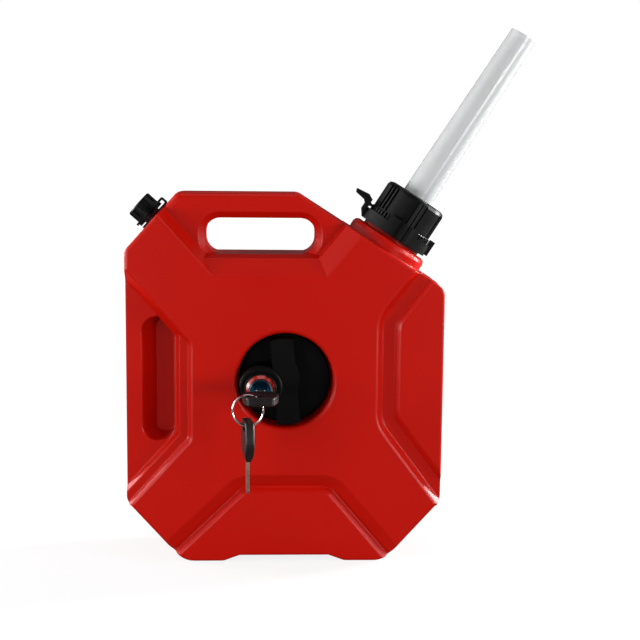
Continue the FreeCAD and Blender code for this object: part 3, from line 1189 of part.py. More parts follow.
def build_lock_parts(doc, s):
    """Barrel, bezel, plug, wafers, clip, cam and cam screw, in the lock's frame."""
    z = levels(s)
    bore = s.plug_radius + s.running_gap
    barrel = revolved(doc, "lock_barrel", [
        (bore, s.barrel_rear), (s.barrel_radius, s.barrel_rear), (s.barrel_radius, z.housing_top),
        (s.barrel_flange, z.housing_top), (s.barrel_flange, z.flange_top - 0.8),
        (s.barrel_flange - 0.8, z.flange_top), (bore, z.flange_top)])
    bezel = revolved(doc, "lock_bezel", [
        (s.plug_head_radius + s.running_gap, z.flange_top), (s.bezel_radius, z.flange_top),
        (s.bezel_radius, z.flange_top + 0.8), (s.bezel_radius - s.bezel_taper, z.bezel_top),
        (s.plug_head_radius + s.running_gap, z.bezel_top)])

    round_plug = revolved(doc, "plug_blank", [
        (0, z.tail), (s.plug_tail_radius, z.tail),
        (s.plug_tail_radius, s.barrel_rear - s.clip_thick - s.running_gap),
        (s.clip_inner, s.barrel_rear - s.clip_thick - s.running_gap), (s.clip_inner, s.barrel_rear),
        (s.plug_radius, s.barrel_rear), (s.plug_radius, z.flange_top + s.running_gap),
        (s.plug_head_radius, z.flange_top + s.running_gap), (s.plug_head_radius, z.face - 0.7),
        (s.plug_head_radius - 0.7, z.face), (0, z.face)])
    seat = box(doc, "cam_seat", -s.plug_seat, s.plug_seat, -s.plug_seat, s.plug_seat,
               z.cam_low, z.tail + 1, s.knob_angle)
    tools = [
        box(doc, "keyway", -s.keyway_half, s.keyway_half, -s.keyway_height / 2, s.keyway_height / 2,
            z.face - s.keyway_depth, z.face + 1),
        cylinder(doc, "cam_screw_hole", s.cam_screw_radius, z.cam_low - 1, z.cam_low + s.cam_screw_length),
    ]
    wafers = []
    for i in range(int(s.wafer_count.value)):
        middle = z.face - s.wafer_start - s.wafer_pitch * i
        half = s.wafer_thick / 2
        reach = s.plug_radius * 2
        tools.append(box(doc, f"wafer_slot_{i}", -reach, reach,
                         -s.wafer_height / 2 - s.wafer_gap, s.wafer_height / 2 + s.wafer_gap,
                         middle - half - s.wafer_gap, middle + half + s.wafer_gap))
        wafers.append(box(doc, f"wafer_{i}", -s.wafer_width / 2, s.wafer_width / 2,
                          -s.wafer_height / 2, s.wafer_height / 2, middle - half, middle + half))
    plug = cut(doc, "lock_plug", joined(doc, "plug_solid", [round_plug, seat]), tools)
    window = box(doc, "wafer_window", -s.keyway_half, s.keyway_half, -s.keyway_height / 2,
                 s.keyway_height / 2, z.face - s.keyway_depth, z.face)
    lock_wafers = cut(doc, "lock_wafers", joined(doc, "wafer_blanks", wafers), [window])
    clip_low = s.barrel_rear - s.clip_thick - s.running_gap
    clip = cut(doc, "lock_clip", ring(doc, "clip_ring", s.clip_inner, s.clip_outer, clip_low,
                                      clip_low + s.clip_thick),
               [box(doc, "clip_mouth", 0, s.clip_outer * 2, -s.clip_inner * 0.75, s.clip_inner * 0.75,
                    clip_low - 1, clip_low + 2, 60)])
    cam_high = z.cam_low + s.cam_thick
    disc = cylinder(doc, "cam_disc", s.cam_root, z.cam_low, cam_high)
    tongue = box(doc, "cam_tongue", -s.cam_width / 2, s.cam_width / 2, -s.cam_reach, 0,
                 z.cam_low, cam_high, s.knob_angle)
    cam = cut(doc, "lock_cam", joined(doc, "cam_solid", [disc, tongue]), [
        box(doc, "cam_square", -s.plug_seat, s.plug_seat, -s.plug_seat, s.plug_seat,
            z.cam_low - 1, cam_high + 1, s.knob_angle)])
    screw = revolved(doc, "cam_screw", [
        (0, z.cam_low - s.cam_screw_head_thick),
        (s.cam_screw_head - 0.5, z.cam_low - s.cam_screw_head_thick),
        (s.cam_screw_head, z.cam_low - s.cam_screw_head_thick + 0.5), (s.cam_screw_head, z.cam_low),
        (s.cam_screw_radius, z.cam_low), (s.cam_screw_radius, z.cam_low + s.cam_screw_length),
        (0, z.cam_low + s.cam_screw_length)])
    return [barrel, bezel, plug, lock_wafers, clip, cam, screw]


def blade_outline(s):
    """A key's blade from its tip upwards, with cuts along both edges, as (x, z) corners."""
    half = s.key_blade_width / 2
    right = [(half - 2, 0), (half, 2.2)]
    for i in range(int(s.key_cut_count.value)):
        start = s.key_cut_pitch * i + 3.2
        right += [(half, start), (half - s.key_cut_depth, start + 0.8),
                  (half - s.key_cut_depth, start + 1.6), (half, start + 2.4)]
    right.append((half, s.key_blade_length + s.key_blade_root))
    return right + [(-dim(x), z) for x, z in reversed(right)]


def leaf(s, low, wide, high):
    """The outline of a key's head, as (x, z) corners: two curved sides and a flat end."""
    right = []
    for i in range(7):
        share = i / 6
        bow = math.sin(math.radians(90 * share))
        right.append((s.key_head_neck / 2 + (s.key_head_width - s.key_head_neck) / 2 * bow,
                      low + (wide - low) * share))
    for i in range(1, 7):
        share = i / 6
        bow = 1 - math.cos(math.radians(90 * share))
        right.append((s.key_head_width / 2 - (s.key_head_width - s.key_head_end) / 2 * bow,
                      wide + (high - wide) * share))
    return right + [(-x, z) for x, z in reversed(right)]


def build_key(doc, s, prefix):
    """A key's blade and its moulded head, with the blade's tip at the origin and the head upwards."""
    blade = slab(doc, f"{prefix}blade_form", blade_outline(s), s.key_blade_thick / 2)
    low = s.key_blade_length
    high = low + s.key_head_length
    wide = low + s.key_head_wide
    outline = slab(doc, f"{prefix}head_outline", leaf(s, low, wide, high), s.key_head_thick / 2)

    def upright(edge):
        on_end = runs_through(edge) and edge.CenterOfMass.z > high.value - 1
        return s.key_corner_round.value * on_end

    rounded = round_edges(doc, f"{prefix}head_corners", outline, upright)
    soft = round_edges(doc, f"{prefix}head_soft", rounded,
                       lambda edge: 0 if runs_through(edge) else s.key_head_round.value)
    eye_z = high - s.key_eye_back
    eye_sketch = front_sketch(doc, f"{prefix}eye_sketch", dim(0))
    draw_rounded(eye_sketch, -s.key_eye_offset - s.key_eye_length / 2,
                 -s.key_eye_offset + s.key_eye_length / 2,
                 eye_z - s.key_eye_width / 2, eye_z + s.key_eye_width / 2, s.key_eye_width / 2 - 0.2)
    eye = extrude_both(doc, f"{prefix}eye", eye_sketch, s.key_head_thick)
    pocket = slab(doc, f"{prefix}blade_seat", [
        (-s.key_blade_width / 2, low - 1), (s.key_blade_width / 2, low - 1),
        (s.key_blade_width / 2, low + s.key_blade_root), (-s.key_blade_width / 2, low + s.key_blade_root),
    ], s.key_blade_thick / 2)
    thins = []
    rise = (s.key_head_thick - s.key_neck_thick) / 2
    for side, sign in (("front", 1), ("back", -1)):
        wedge = slab(doc, f"{prefix}thinned_{side}", [
            (s.key_neck_thick / 2 * sign, low - 1), (s.key_neck_thick / 2 * sign, low + 0.5),
            ((s.key_neck_thick / 2 + rise) * sign, low + s.key_neck_length),
            ((s.key_neck_thick / 2 + rise + 2) * sign, low + s.key_neck_length),
            ((s.key_neck_thick / 2 + rise + 2) * sign, low - 1),
        ], s.key_head_width)
        thins.append(place(wedge, Frame(0, 0, 0, ("0; 0; 1", 90))))
    head = cut(doc, f"{prefix}head_form", soft, [eye, pocket] + thins)
    return blade, head


def build_mount_parts(doc, s):
    """The base behind the can and the nut in its boss, in the well's frame."""
    back = -s.rear_well_floor - s.base_thick
    seat = -s.rear_well_floor
    boss_in = s.post_radius - s.post_wall
    solid = [
        revolved(doc, "base_flange", [
            (0, back), (s.base_radius - 0.8, back), (s.base_radius, back + 0.8),
            (s.base_radius, seat - 0.8), (s.base_radius - 0.8, seat), (0, seat)]),
        ring(doc, "base_post", boss_in, s.post_radius, seat - 1, s.post_top),
        cylinder(doc, "base_boss", s.post_boss_radius, seat - 1, s.post_boss_top),
    ]
    for i in range(4):
        solid.append(box(doc, f"base_rib_{i}", s.post_boss_radius - 2, boss_in + 1,
                         -s.post_rib / 2, s.post_rib / 2, seat - 1, s.post_rib_top, 45 + 90 * i))
    nut_low = s.post_boss_top - s.nut_length
    tools = [
        cylinder(doc, "nut_seat", s.nut_radius, nut_low, s.post_boss_top + 1),
        cylinder(doc, "stud_relief", s.stud_radius + 0.5, nut_low - 12, nut_low + 1),
    ]
    count = int(s.notch_count.value)
    for i in range(count):
        tools.append(box(doc, f"post_notch_{i}", -s.post_radius - 2, -boss_in + 3,
                         -s.lock_drop - s.notch_below, -s.lock_drop + s.notch_above,
                         s.post_top - s.notch_depth, s.post_top + 1,
                         s.knob_angle + dim(360) / s.notch_count * i))
    for i in range(int(s.screw_count.value)):
        angle = dim(360) / s.screw_count * (i + 0.5)
        x = s.screw_circle * cosine(angle)
        y = s.screw_circle * sine(angle)
        tools.append(cylinder(doc, f"screw_hole_{i}", s.screw_hole, back - 1, seat + 1, x, y))
        sink = revolved(doc, f"screw_sink_{i}", [
            (0, seat - s.screw_head + s.screw_hole), (s.screw_hole, seat - s.screw_head + s.screw_hole),
            (s.screw_head, seat), (s.screw_head, seat + 1), (0, seat + 1)])
        bind(sink, "Placement.Base.x", x)
        bind(sink, "Placement.Base.y", y)
        tools.append(sink)
    base = cut(doc, "mount_base", joined(doc, "base_solid", solid), tools)
    nut = ring(doc, "post_nut", s.stud_radius + s.running_gap, s.nut_radius, nut_low, s.post_boss_top)
    return [base, nut]


def key_frames(s):
    """Frames of the key in the lock, of the split ring and of the spare key."""
    z = levels(s)
    x, height = lock_centre(s)
    in_lock = Frame(x, -z.key_tip, height, ("1; 0; 0", 90))
    eye = z.key_tip + s.key_blade_length + s.key_head_length - s.key_eye_back
    ring_x = x - s.split_left
    ring_z = height - s.split_down
    on_ring = Frame(ring_x, -eye, ring_z, ("1; 0; 0", 90), ("0; 0; 1", 40))
    tip = ring_z - s.split_radius - s.spare_hang + s.key_eye_back - s.key_head_length - s.key_blade_length
    spare = Frame(ring_x, -eye, tip, ("0; 0; 1", 90 - s.spare_yaw))
    return in_lock, on_ring, spare


def build_split_ring(doc, s):
    """The key ring: two turns of wire wound side by side."""
    helix = doc.addObject("Part::Helix", "ring_path")
    bind(helix, "Radius", s.split_radius)
    bind(helix, "Pitch", s.split_pitch)
    bind(helix, "Height", s.split_pitch * s.split_turns)
    bind(helix, "SegmentLength", s.split_segment)
    bind(helix, "Placement.Base.z", s.split_pitch * s.split_turns * -0.5)
    wire = doc.addObject("Sketcher::SketchObject", "ring_wire")
    wire.addGeometry(Part.Circle(Vector(s.split_radius.value, 0, 0), Vector(0, 0, 1),
                                 s.split_wire.value), False)
    number = wire.addConstraint(Sketcher.Constraint("Radius", 0, s.split_wire.value))
    wire.setExpression(f"Constraints[{number}]", s.split_wire.text)
    pin(wire, "DistanceX", 0, 3, s.split_radius)
    wire.addConstraint(Sketcher.Constraint("PointOnObject", 0, 3, -1))
    wire.Placement = Placement(Vector(0, 0, 0), Rotation(Vector(1, 0, 0), 90))
    bind(wire, "Placement.Base.z", s.split_pitch * s.split_turns * -0.5)
    sweep = doc.addObject("Part::Sweep", "ring_sweep")
    sweep.Sections = [wire]
    sweep.Spine = (helix, [])
    sweep.Solid = True
    sweep.Frenet = True
    return sweep


def check(doc):
    """Stops if any object of the document failed or any solid is broken."""
    for thing in doc.Objects:
        if "Invalid" in thing.State or "Error" in thing.State:
            raise RuntimeError(f"{thing.Name} failed: {thing.State}")
        shape = getattr(thing, "Shape", None)
        if shape is not None and (shape.isNull() or not shape.isValid()):
            raise RuntimeError(f"{thing.Name} has a broken shape")


def named(doc, label, form, frame, s):
    """Makes the named sub-part that carries a form at its frame."""
    form.Label = f"{label}_form"
    part = doc.addObject("Part::Compound", f"part_{label}")
    part.Links = [form]
    part.Label = label
    place(part, frame, s)
    return part


def build():
    """Builds the document, moves the origin under the middle of the whole, and writes the sub-parts."""
    doc = FreeCAD.newDocument("fuel_can")
    origin, s = make_sheet(doc)
    nodes = [("can_body", build_can(doc, s), can_frame())]
    neck_forms = build_neck_parts(doc, s)
    names = ("lock_ring", "release_tab", "spout_collar", "spout_gasket", "spout_tube")
    nodes += [(name, form, neck_frame(s)) for name, form in zip(names, neck_forms)]
    names = ("vent_cap", "vent_gasket", "vent_tether")
    nodes += [(name, form, vent_frame(s)) for name, form in zip(names, build_vent_parts(doc, s))]
    names = ("knob_washer", "knob", "knob_stud")
    nodes += [(name, form, knob_frame(s)) for name, form in zip(names, build_knob_parts(doc, s))]
    names = ("lock_barrel", "lock_bezel", "lock_plug", "lock_wafers", "lock_clip", "lock_cam", "cam_screw")
    nodes += [(name, form, lock_frame(s)) for name, form in zip(names, build_lock_parts(doc, s))]
    in_lock, on_ring, spare = key_frames(s)
    for prefix, frame in (("", in_lock), ("spare_", spare)):
        blade, head = build_key(doc, s, prefix)
        nodes += [(f"{prefix}key_blade", blade, frame), (f"{prefix}key_head", head, frame)]
    nodes.append(("split_ring", build_split_ring(doc, s), on_ring))
    names = ("mount_base", "post_nut")
    nodes += [(name, form, well_frame(s)) for name, form in zip(names, build_mount_parts(doc, s))]
    doc.recompute()

    parts = [named(doc, label, form, frame, s) for label, form, frame in nodes]
    doc.recompute()
    box_ = FreeCAD.BoundBox()
    for part in parts:
        box_.add(part.Shape.optimalBoundingBox(False, False))
    origin.set("origin_x", f"{(box_.XMin + box_.XMax) / 2:.6f}")
    origin.set("origin_y", f"{(box_.YMin + box_.YMax) / 2:.6f}")
    doc.recompute()
    check(doc)
    os.makedirs("parts", exist_ok=True)
    for part in parts:
        part.Shape.exportStep(f"parts/{part.Label}.step")


build()
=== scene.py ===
"""Looks of a small locking fuel can: finishes, mould line, lock face, floor, light and camera.

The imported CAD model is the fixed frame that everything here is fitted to. Lengths are in metres
unless a name ends in _mm.
"""

from __future__ import annotations

import logging
import math
from dataclasses import dataclass, field
from enum import Enum
from typing import Any

import bmesh
import bpy
from mathutils import Matrix, Vector
from mathutils.bvhtree import BVHTree

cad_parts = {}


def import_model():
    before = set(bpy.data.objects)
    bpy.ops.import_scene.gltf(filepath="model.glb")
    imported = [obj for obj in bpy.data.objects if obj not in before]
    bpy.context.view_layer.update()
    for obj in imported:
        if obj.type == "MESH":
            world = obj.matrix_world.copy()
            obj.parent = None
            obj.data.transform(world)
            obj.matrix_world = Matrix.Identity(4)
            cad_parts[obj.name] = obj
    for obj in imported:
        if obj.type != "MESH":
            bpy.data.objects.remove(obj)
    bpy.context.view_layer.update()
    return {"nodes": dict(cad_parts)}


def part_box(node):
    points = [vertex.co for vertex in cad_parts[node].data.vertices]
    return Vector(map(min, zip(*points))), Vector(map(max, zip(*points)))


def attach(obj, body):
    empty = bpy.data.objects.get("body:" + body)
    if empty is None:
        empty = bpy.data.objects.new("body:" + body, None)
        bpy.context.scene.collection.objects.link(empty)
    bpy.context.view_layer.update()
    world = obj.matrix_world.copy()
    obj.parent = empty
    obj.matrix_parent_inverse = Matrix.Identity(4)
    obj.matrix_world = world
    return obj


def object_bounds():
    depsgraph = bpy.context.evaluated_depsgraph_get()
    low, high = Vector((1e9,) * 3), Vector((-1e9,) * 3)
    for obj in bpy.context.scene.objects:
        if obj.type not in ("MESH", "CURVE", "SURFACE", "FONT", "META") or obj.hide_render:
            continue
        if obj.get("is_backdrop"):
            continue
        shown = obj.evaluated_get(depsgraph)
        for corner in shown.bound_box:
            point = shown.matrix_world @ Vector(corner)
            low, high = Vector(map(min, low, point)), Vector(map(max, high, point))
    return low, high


LOG = logging.getLogger("fuel_can")
MM = 0.001
# Part of the drift's noise that a finish's two tones and its gloss are spread over
DRIFT_LOW = 0.1
DRIFT_HIGH = 0.9


class Slot(Enum):
    """Material slots of the record. Nothing here reads them: new pieces take their finish from the
    wardrobe.
    """

    RED = "red_plastic"
    BLUE = "blue_plastic"


def linear(code: str) -> tuple[float, float, float, float]:
    """Turns an sRGB hex code into linear colour.

    Args:
        code: Six hex digits, such as "B8150D".

    Returns:
        Linear red, green, blue and an alpha of 1.
    """
    parts = []
    for start in (0, 2, 4):
        value = int(code[start:start + 2], 16) / 255
        parts.append(value / 12.92 if value <= 0.04045 else ((value + 0.055) / 1.055) ** 2.4)
    return parts[0], parts[1], parts[2], 1.0


def add_node(
    tree: bpy.types.NodeTree, kind: str, settings: dict[str, Any], **links: Any
) -> bpy.types.Node:
    """Adds one node with its settings and links.

    Args:
        tree: The tree that gets the node.
        kind: Blender's name of the node's type.
        settings: Values for inputs by name, and for properties by name with a leading dot.
        links: Output sockets by the name of the input that each one feeds, spaces as underscores.

    Returns:
        The new node.
    """
    node = tree.nodes.new(kind)
    for name, value in settings.items():
        if name.startswith("."):
            setattr(node, name[1:], value)
        else:
            node.inputs[name].default_value = value
    for name, socket in links.items():
        tree.links.new(socket, node.inputs[name.replace("_", " ")])
    return node


@dataclass(frozen=True)
class Finish:
    """A surface with a fine grain in its height, and a slow drift in its tone and gloss."""

    name: str
    colour: str
    second_colour: str
    roughness: float
    rough_swing: float
    grain_mm: float
    grain_depth_mm: float
    drift_mm: float
    metallic: float = 0.0
    ior: float = 1.5
    specular: float = 0.5
    transmission: float = 0.0
    subsurface: float = 0.0
    coat: float = 0.0
    stretch: tuple[float, float, float] = (1.0, 1.0, 1.0)

    def build(self) -> bpy.types.Material:
        """Makes the material.

        Returns:
            The material, with its whole surface worked out from object coordinates.
        """
        material = bpy.data.materials.new(self.name)
        material.use_nodes = True
        tree = material.node_tree
        tree.nodes.clear()
        output = add_node(tree, "ShaderNodeOutputMaterial", {})
        shader = add_node(tree, "ShaderNodeBsdfPrincipled", {
            "Metallic": self.metallic,
            "IOR": self.ior,
            "Specular IOR Level": self.specular,
            "Transmission Weight": self.transmission,
            "Subsurface Weight": self.subsurface,
            "Coat Weight": self.coat,
        })
        tree.links.new(shader.outputs["BSDF"], output.inputs["Surface"])
        place = add_node(tree, "ShaderNodeTexCoord", {})
        drawn = add_node(tree, "ShaderNodeMapping", {"Scale": self.stretch},
                         Vector=place.outputs["Object"])
        drift = add_node(tree, "ShaderNodeTexNoise", {
            "Scale": 1 / (self.drift_mm * MM), "Detail": 1.0, "Roughness": 0.5,
        }, Vector=drawn.outputs["Vector"])
        tone = add_node(tree, "ShaderNodeValToRGB", {}, Fac=drift.outputs["Fac"])
        tone.color_ramp.elements[0].position = DRIFT_LOW
        tone.color_ramp.elements[0].color = linear(self.second_colour)
        tone.color_ramp.elements[1].position = DRIFT_HIGH
        tone.color_ramp.elements[1].color = linear(self.colour)
        tree.links.new(tone.outputs["Color"], shader.inputs["Base Color"])
        gloss = add_node(tree, "ShaderNodeMapRange", {
            "From Min": DRIFT_LOW,
            "From Max": DRIFT_HIGH,
            "To Min": self.roughness - self.rough_swing,
            "To Max": self.roughness + self.rough_swing,
        }, Value=drift.outputs["Fac"])
        tree.links.new(gloss.outputs["Result"], shader.inputs["Roughness"])
        tree.links.new(self.relief(tree, place), shader.inputs["Normal"])
        return material

    def relief(
        self, tree: bpy.types.NodeTree, place: bpy.types.Node
    ) -> bpy.types.NodeSocket:
        """Adds the surface's fine height.

        Args:
            tree: The material's tree.
            place: Its texture coordinates.

        Returns:
            The normal socket that the shader takes.
        """
        grain = add_node(tree, "ShaderNodeTexNoise", {
            "Scale": 1 / (self.grain_mm * MM), "Detail": 2.0,
        }, Vector=place.outputs["Object"])
        bump = add_node(tree, "ShaderNodeBump", {
            "Strength": 1.0, "Distance": self.grain_depth_mm * MM,
        }, Height=grain.outputs["Fac"])
        return bump.outputs["Normal"]


@dataclass(frozen=True)
class BlownPolyethylene(Finish):
    """HDPE blown from an extruded tube: waxy and half glossy, with faint upright draw lines."""

    draw_line_mm: float = 2.6
    draw_depth_mm: float = 0.006
    draw_stretch: float = 0.03
    edge_mm: float = 1.4
    edge_samples: int = 6

    def relief(
        self, tree: bpy.types.NodeTree, place: bpy.types.Node
    ) -> bpy.types.NodeSocket:
        """Adds the skin's orange peel, the tube's draw lines and, under both, its soft edges.

        Args:
            tree: The material's tree.
            place: Its texture coordinates.

        Returns:
            The normal socket that the shader takes.
        """
        peel = add_node(tree, "ShaderNodeTexNoise", {
            "Scale": 1 / (self.grain_mm * MM), "Detail": 2.0,
        }, Vector=place.outputs["Object"])
        upright = add_node(tree, "ShaderNodeMapping", {"Scale": (1.0, 1.0, self.draw_stretch)},
                           Vector=place.outputs["Object"])
        lines = add_node(tree, "ShaderNodeTexNoise", {
            "Scale": 1 / (self.draw_line_mm * MM), "Detail": 2.0,
        }, Vector=upright.outputs["Vector"])
        edges = add_node(tree, "ShaderNodeBevel", {
            ".samples": self.edge_samples, "Radius": self.edge_mm * MM,
        })
        drawn = add_node(tree, "ShaderNodeBump", {
            "Strength": 1.0, "Distance": self.draw_depth_mm * MM,
        }, Height=lines.outputs["Fac"], Normal=edges.outputs["Normal"])
        bump = add_node(tree, "ShaderNodeBump", {
            "Strength": 1.0, "Distance": self.grain_depth_mm * MM,
        }, Height=peel.outputs["Fac"], Normal=drawn.outputs["Normal"])
        return bump.outputs["Normal"]


# Red HDPE: deep and even, with a soft sheen that shows on the edges
RED_SKIN = BlownPolyethylene(
    "blown_hdpe_red", "BA0F02", "B50D02", 0.295, 0.015, 1.6, 0.003, 60.0,
    ior=1.53, specular=0.2)
# Black polypropylene, moulded against a fine eroded tool, so its highlights are broad
BLACK_SATIN = Finish(
    "moulded_pp_black", "09090B", "060607", 0.34, 0.04, 0.45, 0.006, 12.0, specular=0.23)
# Black ABS of the knob, a little deeper and duller
KNOB_BLACK = Finish(
    "moulded_abs_black", "080808", "060606", 0.4, 0.04, 0.5, 0.008, 14.0, specular=0.1)
# Natural LDPE: milky, lets light through and blurs what is behind it
MILKY = Finish(
    "extruded_ldpe_natural", "E0E2E3", "DBDDDD", 0.17, 0.03, 1.2, 0.002, 30.0, ior=1.51,
    transmission=0.3, stretch=(1.0, 1.0, 0.3))
# Nitrile rubber: matt and dark
RUBBER = Finish("nitrile_black", "1B1B1C", "161617", 0.8, 0.05, 0.4, 0.015, 9.0)
# Plug coloured near black: its rim round the face is painted shade, standing in for the shade in
# the gap between bezel and face
PLUG_GAP_SHADE = Finish("plug_painted_gap_shade", "0A0E16", "070A10", 0.4, 0.05, 0.5, 0.008, 4.0)
# Blue lacquer over bright metal: navy where it mirrors the dark, cyan where it mirrors the light
BLUE_LACQUER = Finish(
    "blue_lacquered_steel", "2C94C8", "2480B8", 0.16, 0.03, 0.8, 0.003, 3.0, metallic=1.0, coat=0.5)
# Nickel and chrome plate: mirror bright
CHROME = Finish(
    "plated_chrome", "E6E7E8", "DEDFE1", 0.08, 0.03, 0.6, 0.001, 6.0, metallic=1.0)
# Zinc-plated steel: grey, with a soft rolled grain
ZINC = Finish(
    "zinc_plated_steel", "C3C4C6", "AEB0B3", 0.34, 0.05, 0.35, 0.004, 5.0, metallic=1.0,
    stretch=(1.0, 1.0, 0.25))
# Nickel-plated brass of the key blades: a warm grey with a rolled grain
NICKEL_BRASS = Finish(
    "nickel_plated_brass", "BDB3A6", "A3998C", 0.34, 0.05, 0.35, 0.005, 4.0, metallic=1.0,
    stretch=(1.0, 1.0, 0.25))
# Turned brass
BRASS = Finish("turned_brass", "C9A14E", "B88E3E", 0.34, 0.05, 0.3, 0.003, 4.0, metallic=1.0)
# Key heads: black rubbery plastic; the reddish-brown cast in its colour is painted reflection of
# the red can
KEY_BLACK = Finish(
    "moulded_tpe_black", "140C0D", "0F0909", 0.4, 0.05, 0.5, 0.010, 8.0, specular=0.4)


class Wardrobe:
    """Makes each finish once and puts it on CAD nodes and new pieces."""

    def __init__(self, nodes: dict[str, bpy.types.Object]) -> None:
        """Keeps the frame's nodes."""
        self.nodes = nodes
        self.made: dict[str, bpy.types.Material] = {}

    def material(self, finish: Finish) -> bpy.types.Material:
        """Makes a finish, or returns it if it is made already.

        Args:
            finish: The finish that is wanted.

        Returns:
            Its material.
        """
        if finish.name not in self.made:
            self.made[finish.name] = finish.build()
        return self.made[finish.name]

    def dress(self, finish: Finish, *names: str) -> None:
        """Puts a finish on CAD nodes.

        Args:
            finish: The finish.
            names: The nodes that get it.
        """
        for name in names:
            mesh = self.nodes[name].data
            mesh.materials.clear()
            mesh.materials.append(self.material(finish))
            LOG.info("%s is %s", name, finish.name)


def new_piece(name: str, form: bmesh.types.BMesh, material: bpy.types.Material) -> bpy.types.Object:
    """Turns a bmesh into a piece of the scene.

    Args:
        name: The piece's name.
        form: Its form, freed here.
        material: Its material.

    Returns:
        The new object.
    """
    bmesh.ops.recalc_face_normals(form, faces=form.faces)
    mesh = bpy.data.meshes.new(name)
    form.to_mesh(mesh)
    form.free()
    mesh.materials.append(material)
    piece = bpy.data.objects.new(name, mesh)
    bpy.context.scene.collection.objects.link(piece)
    return piece


@dataclass
class MouldLine:
    """The thin ridge where the can's two mould halves met, all round its outer skin."""

    width: float = 0.9 * MM
    profile_steps: int = 2
    free_run: float = 0.5
    start_gap: float = 0.2 * MM
    merge_gap: float = 0.02 * MM
    least_slope: float = 0.5

    def build(self, can: bpy.types.Object, material: bpy.types.Material) -> bpy.types.Object:
        """Cuts a copy of the can at its middle and raises a bead on the outer part of the cut.

        Args:
            can: The can's node.
            material: The can's own finish.

        Returns:
            The bead, riding on the can.
        """
        form = bmesh.new()
        form.from_mesh(can.data)
        form.transform(can.matrix_world)
        tree = BVHTree.FromBMesh(form)
        low = min(vertex.co.y for vertex in form.verts)
        high = max(vertex.co.y for vertex in form.verts)
        middle = Vector((0.0, (low + high) / 2, 0.0))
        cut = bmesh.ops.bisect_plane(
            form, geom=form.verts[:] + form.edges[:] + form.faces[:],
            plane_co=middle, plane_no=Vector((0.0, 1.0, 0.0)))
        line = {item for item in cut["geom_cut"] if isinstance(item, bmesh.types.BMEdge)}
        kept = {edge for edge in line if self.faces_out(edge, tree)}
        bmesh.ops.delete(form, geom=[face for face in form.faces], context="FACES_ONLY")
        bmesh.ops.delete(
            form, geom=[edge for edge in form.edges if edge not in kept], context="EDGES")
        bmesh.ops.delete(
            form, geom=[vertex for vertex in form.verts if not vertex.link_edges], context="VERTS")
        bmesh.ops.remove_doubles(form, verts=form.verts[:], dist=self.merge_gap)
        mesh = bpy.data.meshes.new("mould_line_path")
        form.to_mesh(mesh)
        form.free()
        path = bpy.data.objects.new("mould_line_path", mesh)
        bpy.context.scene.collection.objects.link(path)
        return self.raise_bead(path, material)

    def faces_out(self, edge: bmesh.types.BMEdge, tree: BVHTree) -> bool:
        """Tells whether an edge of the cut lies on the can's outer skin.

        Args:
            edge: An edge of the cut.
            tree: The can's faces before the cut.

        Returns:
            True where nothing of the can stands before the surface.
        """
        normal = Vector((0.0, 0.0, 0.0))
        for face in edge.link_faces:
            normal += face.normal
        normal.y = 0.0
        if normal.length < self.least_slope:
            return False
        normal.normalize()
        start = (edge.verts[0].co + edge.verts[1].co) / 2 + normal * self.start_gap
        return tree.ray_cast(start, normal, self.free_run)[0] is None

    def raise_bead(
        self, path: bpy.types.Object, material: bpy.types.Material
    ) -> bpy.types.Object:
        """Turns the path into a low bead.

        Args:
            path: The object that holds the cut's edges.
            material: The can's own finish.

        Returns:
            The bead, riding on the can.
        """
        bpy.ops.object.select_all(action="DESELECT")
        path.select_set(True)
        bpy.context.view_layer.objects.active = path
        bpy.ops.object.convert(target="CURVE")
        curve = path.data
        curve.bevel_depth = self.width / 2
        curve.bevel_resolution = self.profile_steps
        bpy.ops.object.convert(target="MESH")
        bead = bpy.context.view_layer.objects.active
        bead.name = "mould_line"
        bead.data.materials.clear()
        bead.data.materials.append(material)
        bead.data.shade_smooth()
        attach(bead, "can")
        LOG.info("mould_line has %d faces", len(bead.data.polygons))
        return bead


@dataclass
class Can:
    """The blown can with its mould line."""

    wardrobe: Wardrobe
    mould_line: MouldLine = field(default_factory=MouldLine)

    def build(self) -> None:
        """Dresses the can and adds its mould line."""
        self.wardrobe.dress(RED_SKIN, "can_body")
        self.mould_line.build(self.wardrobe.nodes["can_body"], self.wardrobe.material(RED_SKIN))


@dataclass
class PouringSpout:
    """Lock ring, release tab, toothed collar, gasket and milky tube."""

    wardrobe: Wardrobe

    def build(self) -> None:
        """Dresses the spout's nodes."""
        self.wardrobe.dress(BLACK_SATIN, "lock_ring", "release_tab", "spout_collar")
        self.wardrobe.dress(RUBBER, "spout_gasket")
        self.wardrobe.dress(MILKY, "spout_tube")


@dataclass
class Vent:
    """Vent cap with its gasket and tether."""

    wardrobe: Wardrobe

    def build(self) -> None:
        """Dresses the vent's nodes."""
        self.wardrobe.dress(BLACK_SATIN, "vent_cap", "vent_tether")
        self.wardrobe.dress(RUBBER, "vent_gasket")


@dataclass
class MountKnob:
    """Knob, washer and stud, and the base behind the can that takes the stud."""

    wardrobe: Wardrobe

    def build(self) -> None:
        """Dresses the knob's and the base's nodes."""
        self.wardrobe.dress(KNOB_BLACK, "knob")
        self.wardrobe.dress(BLACK_SATIN, "knob_washer", "mount_base")
        self.wardrobe.dress(ZINC, "knob_stud")
        self.wardrobe.dress(BRASS, "post_nut")


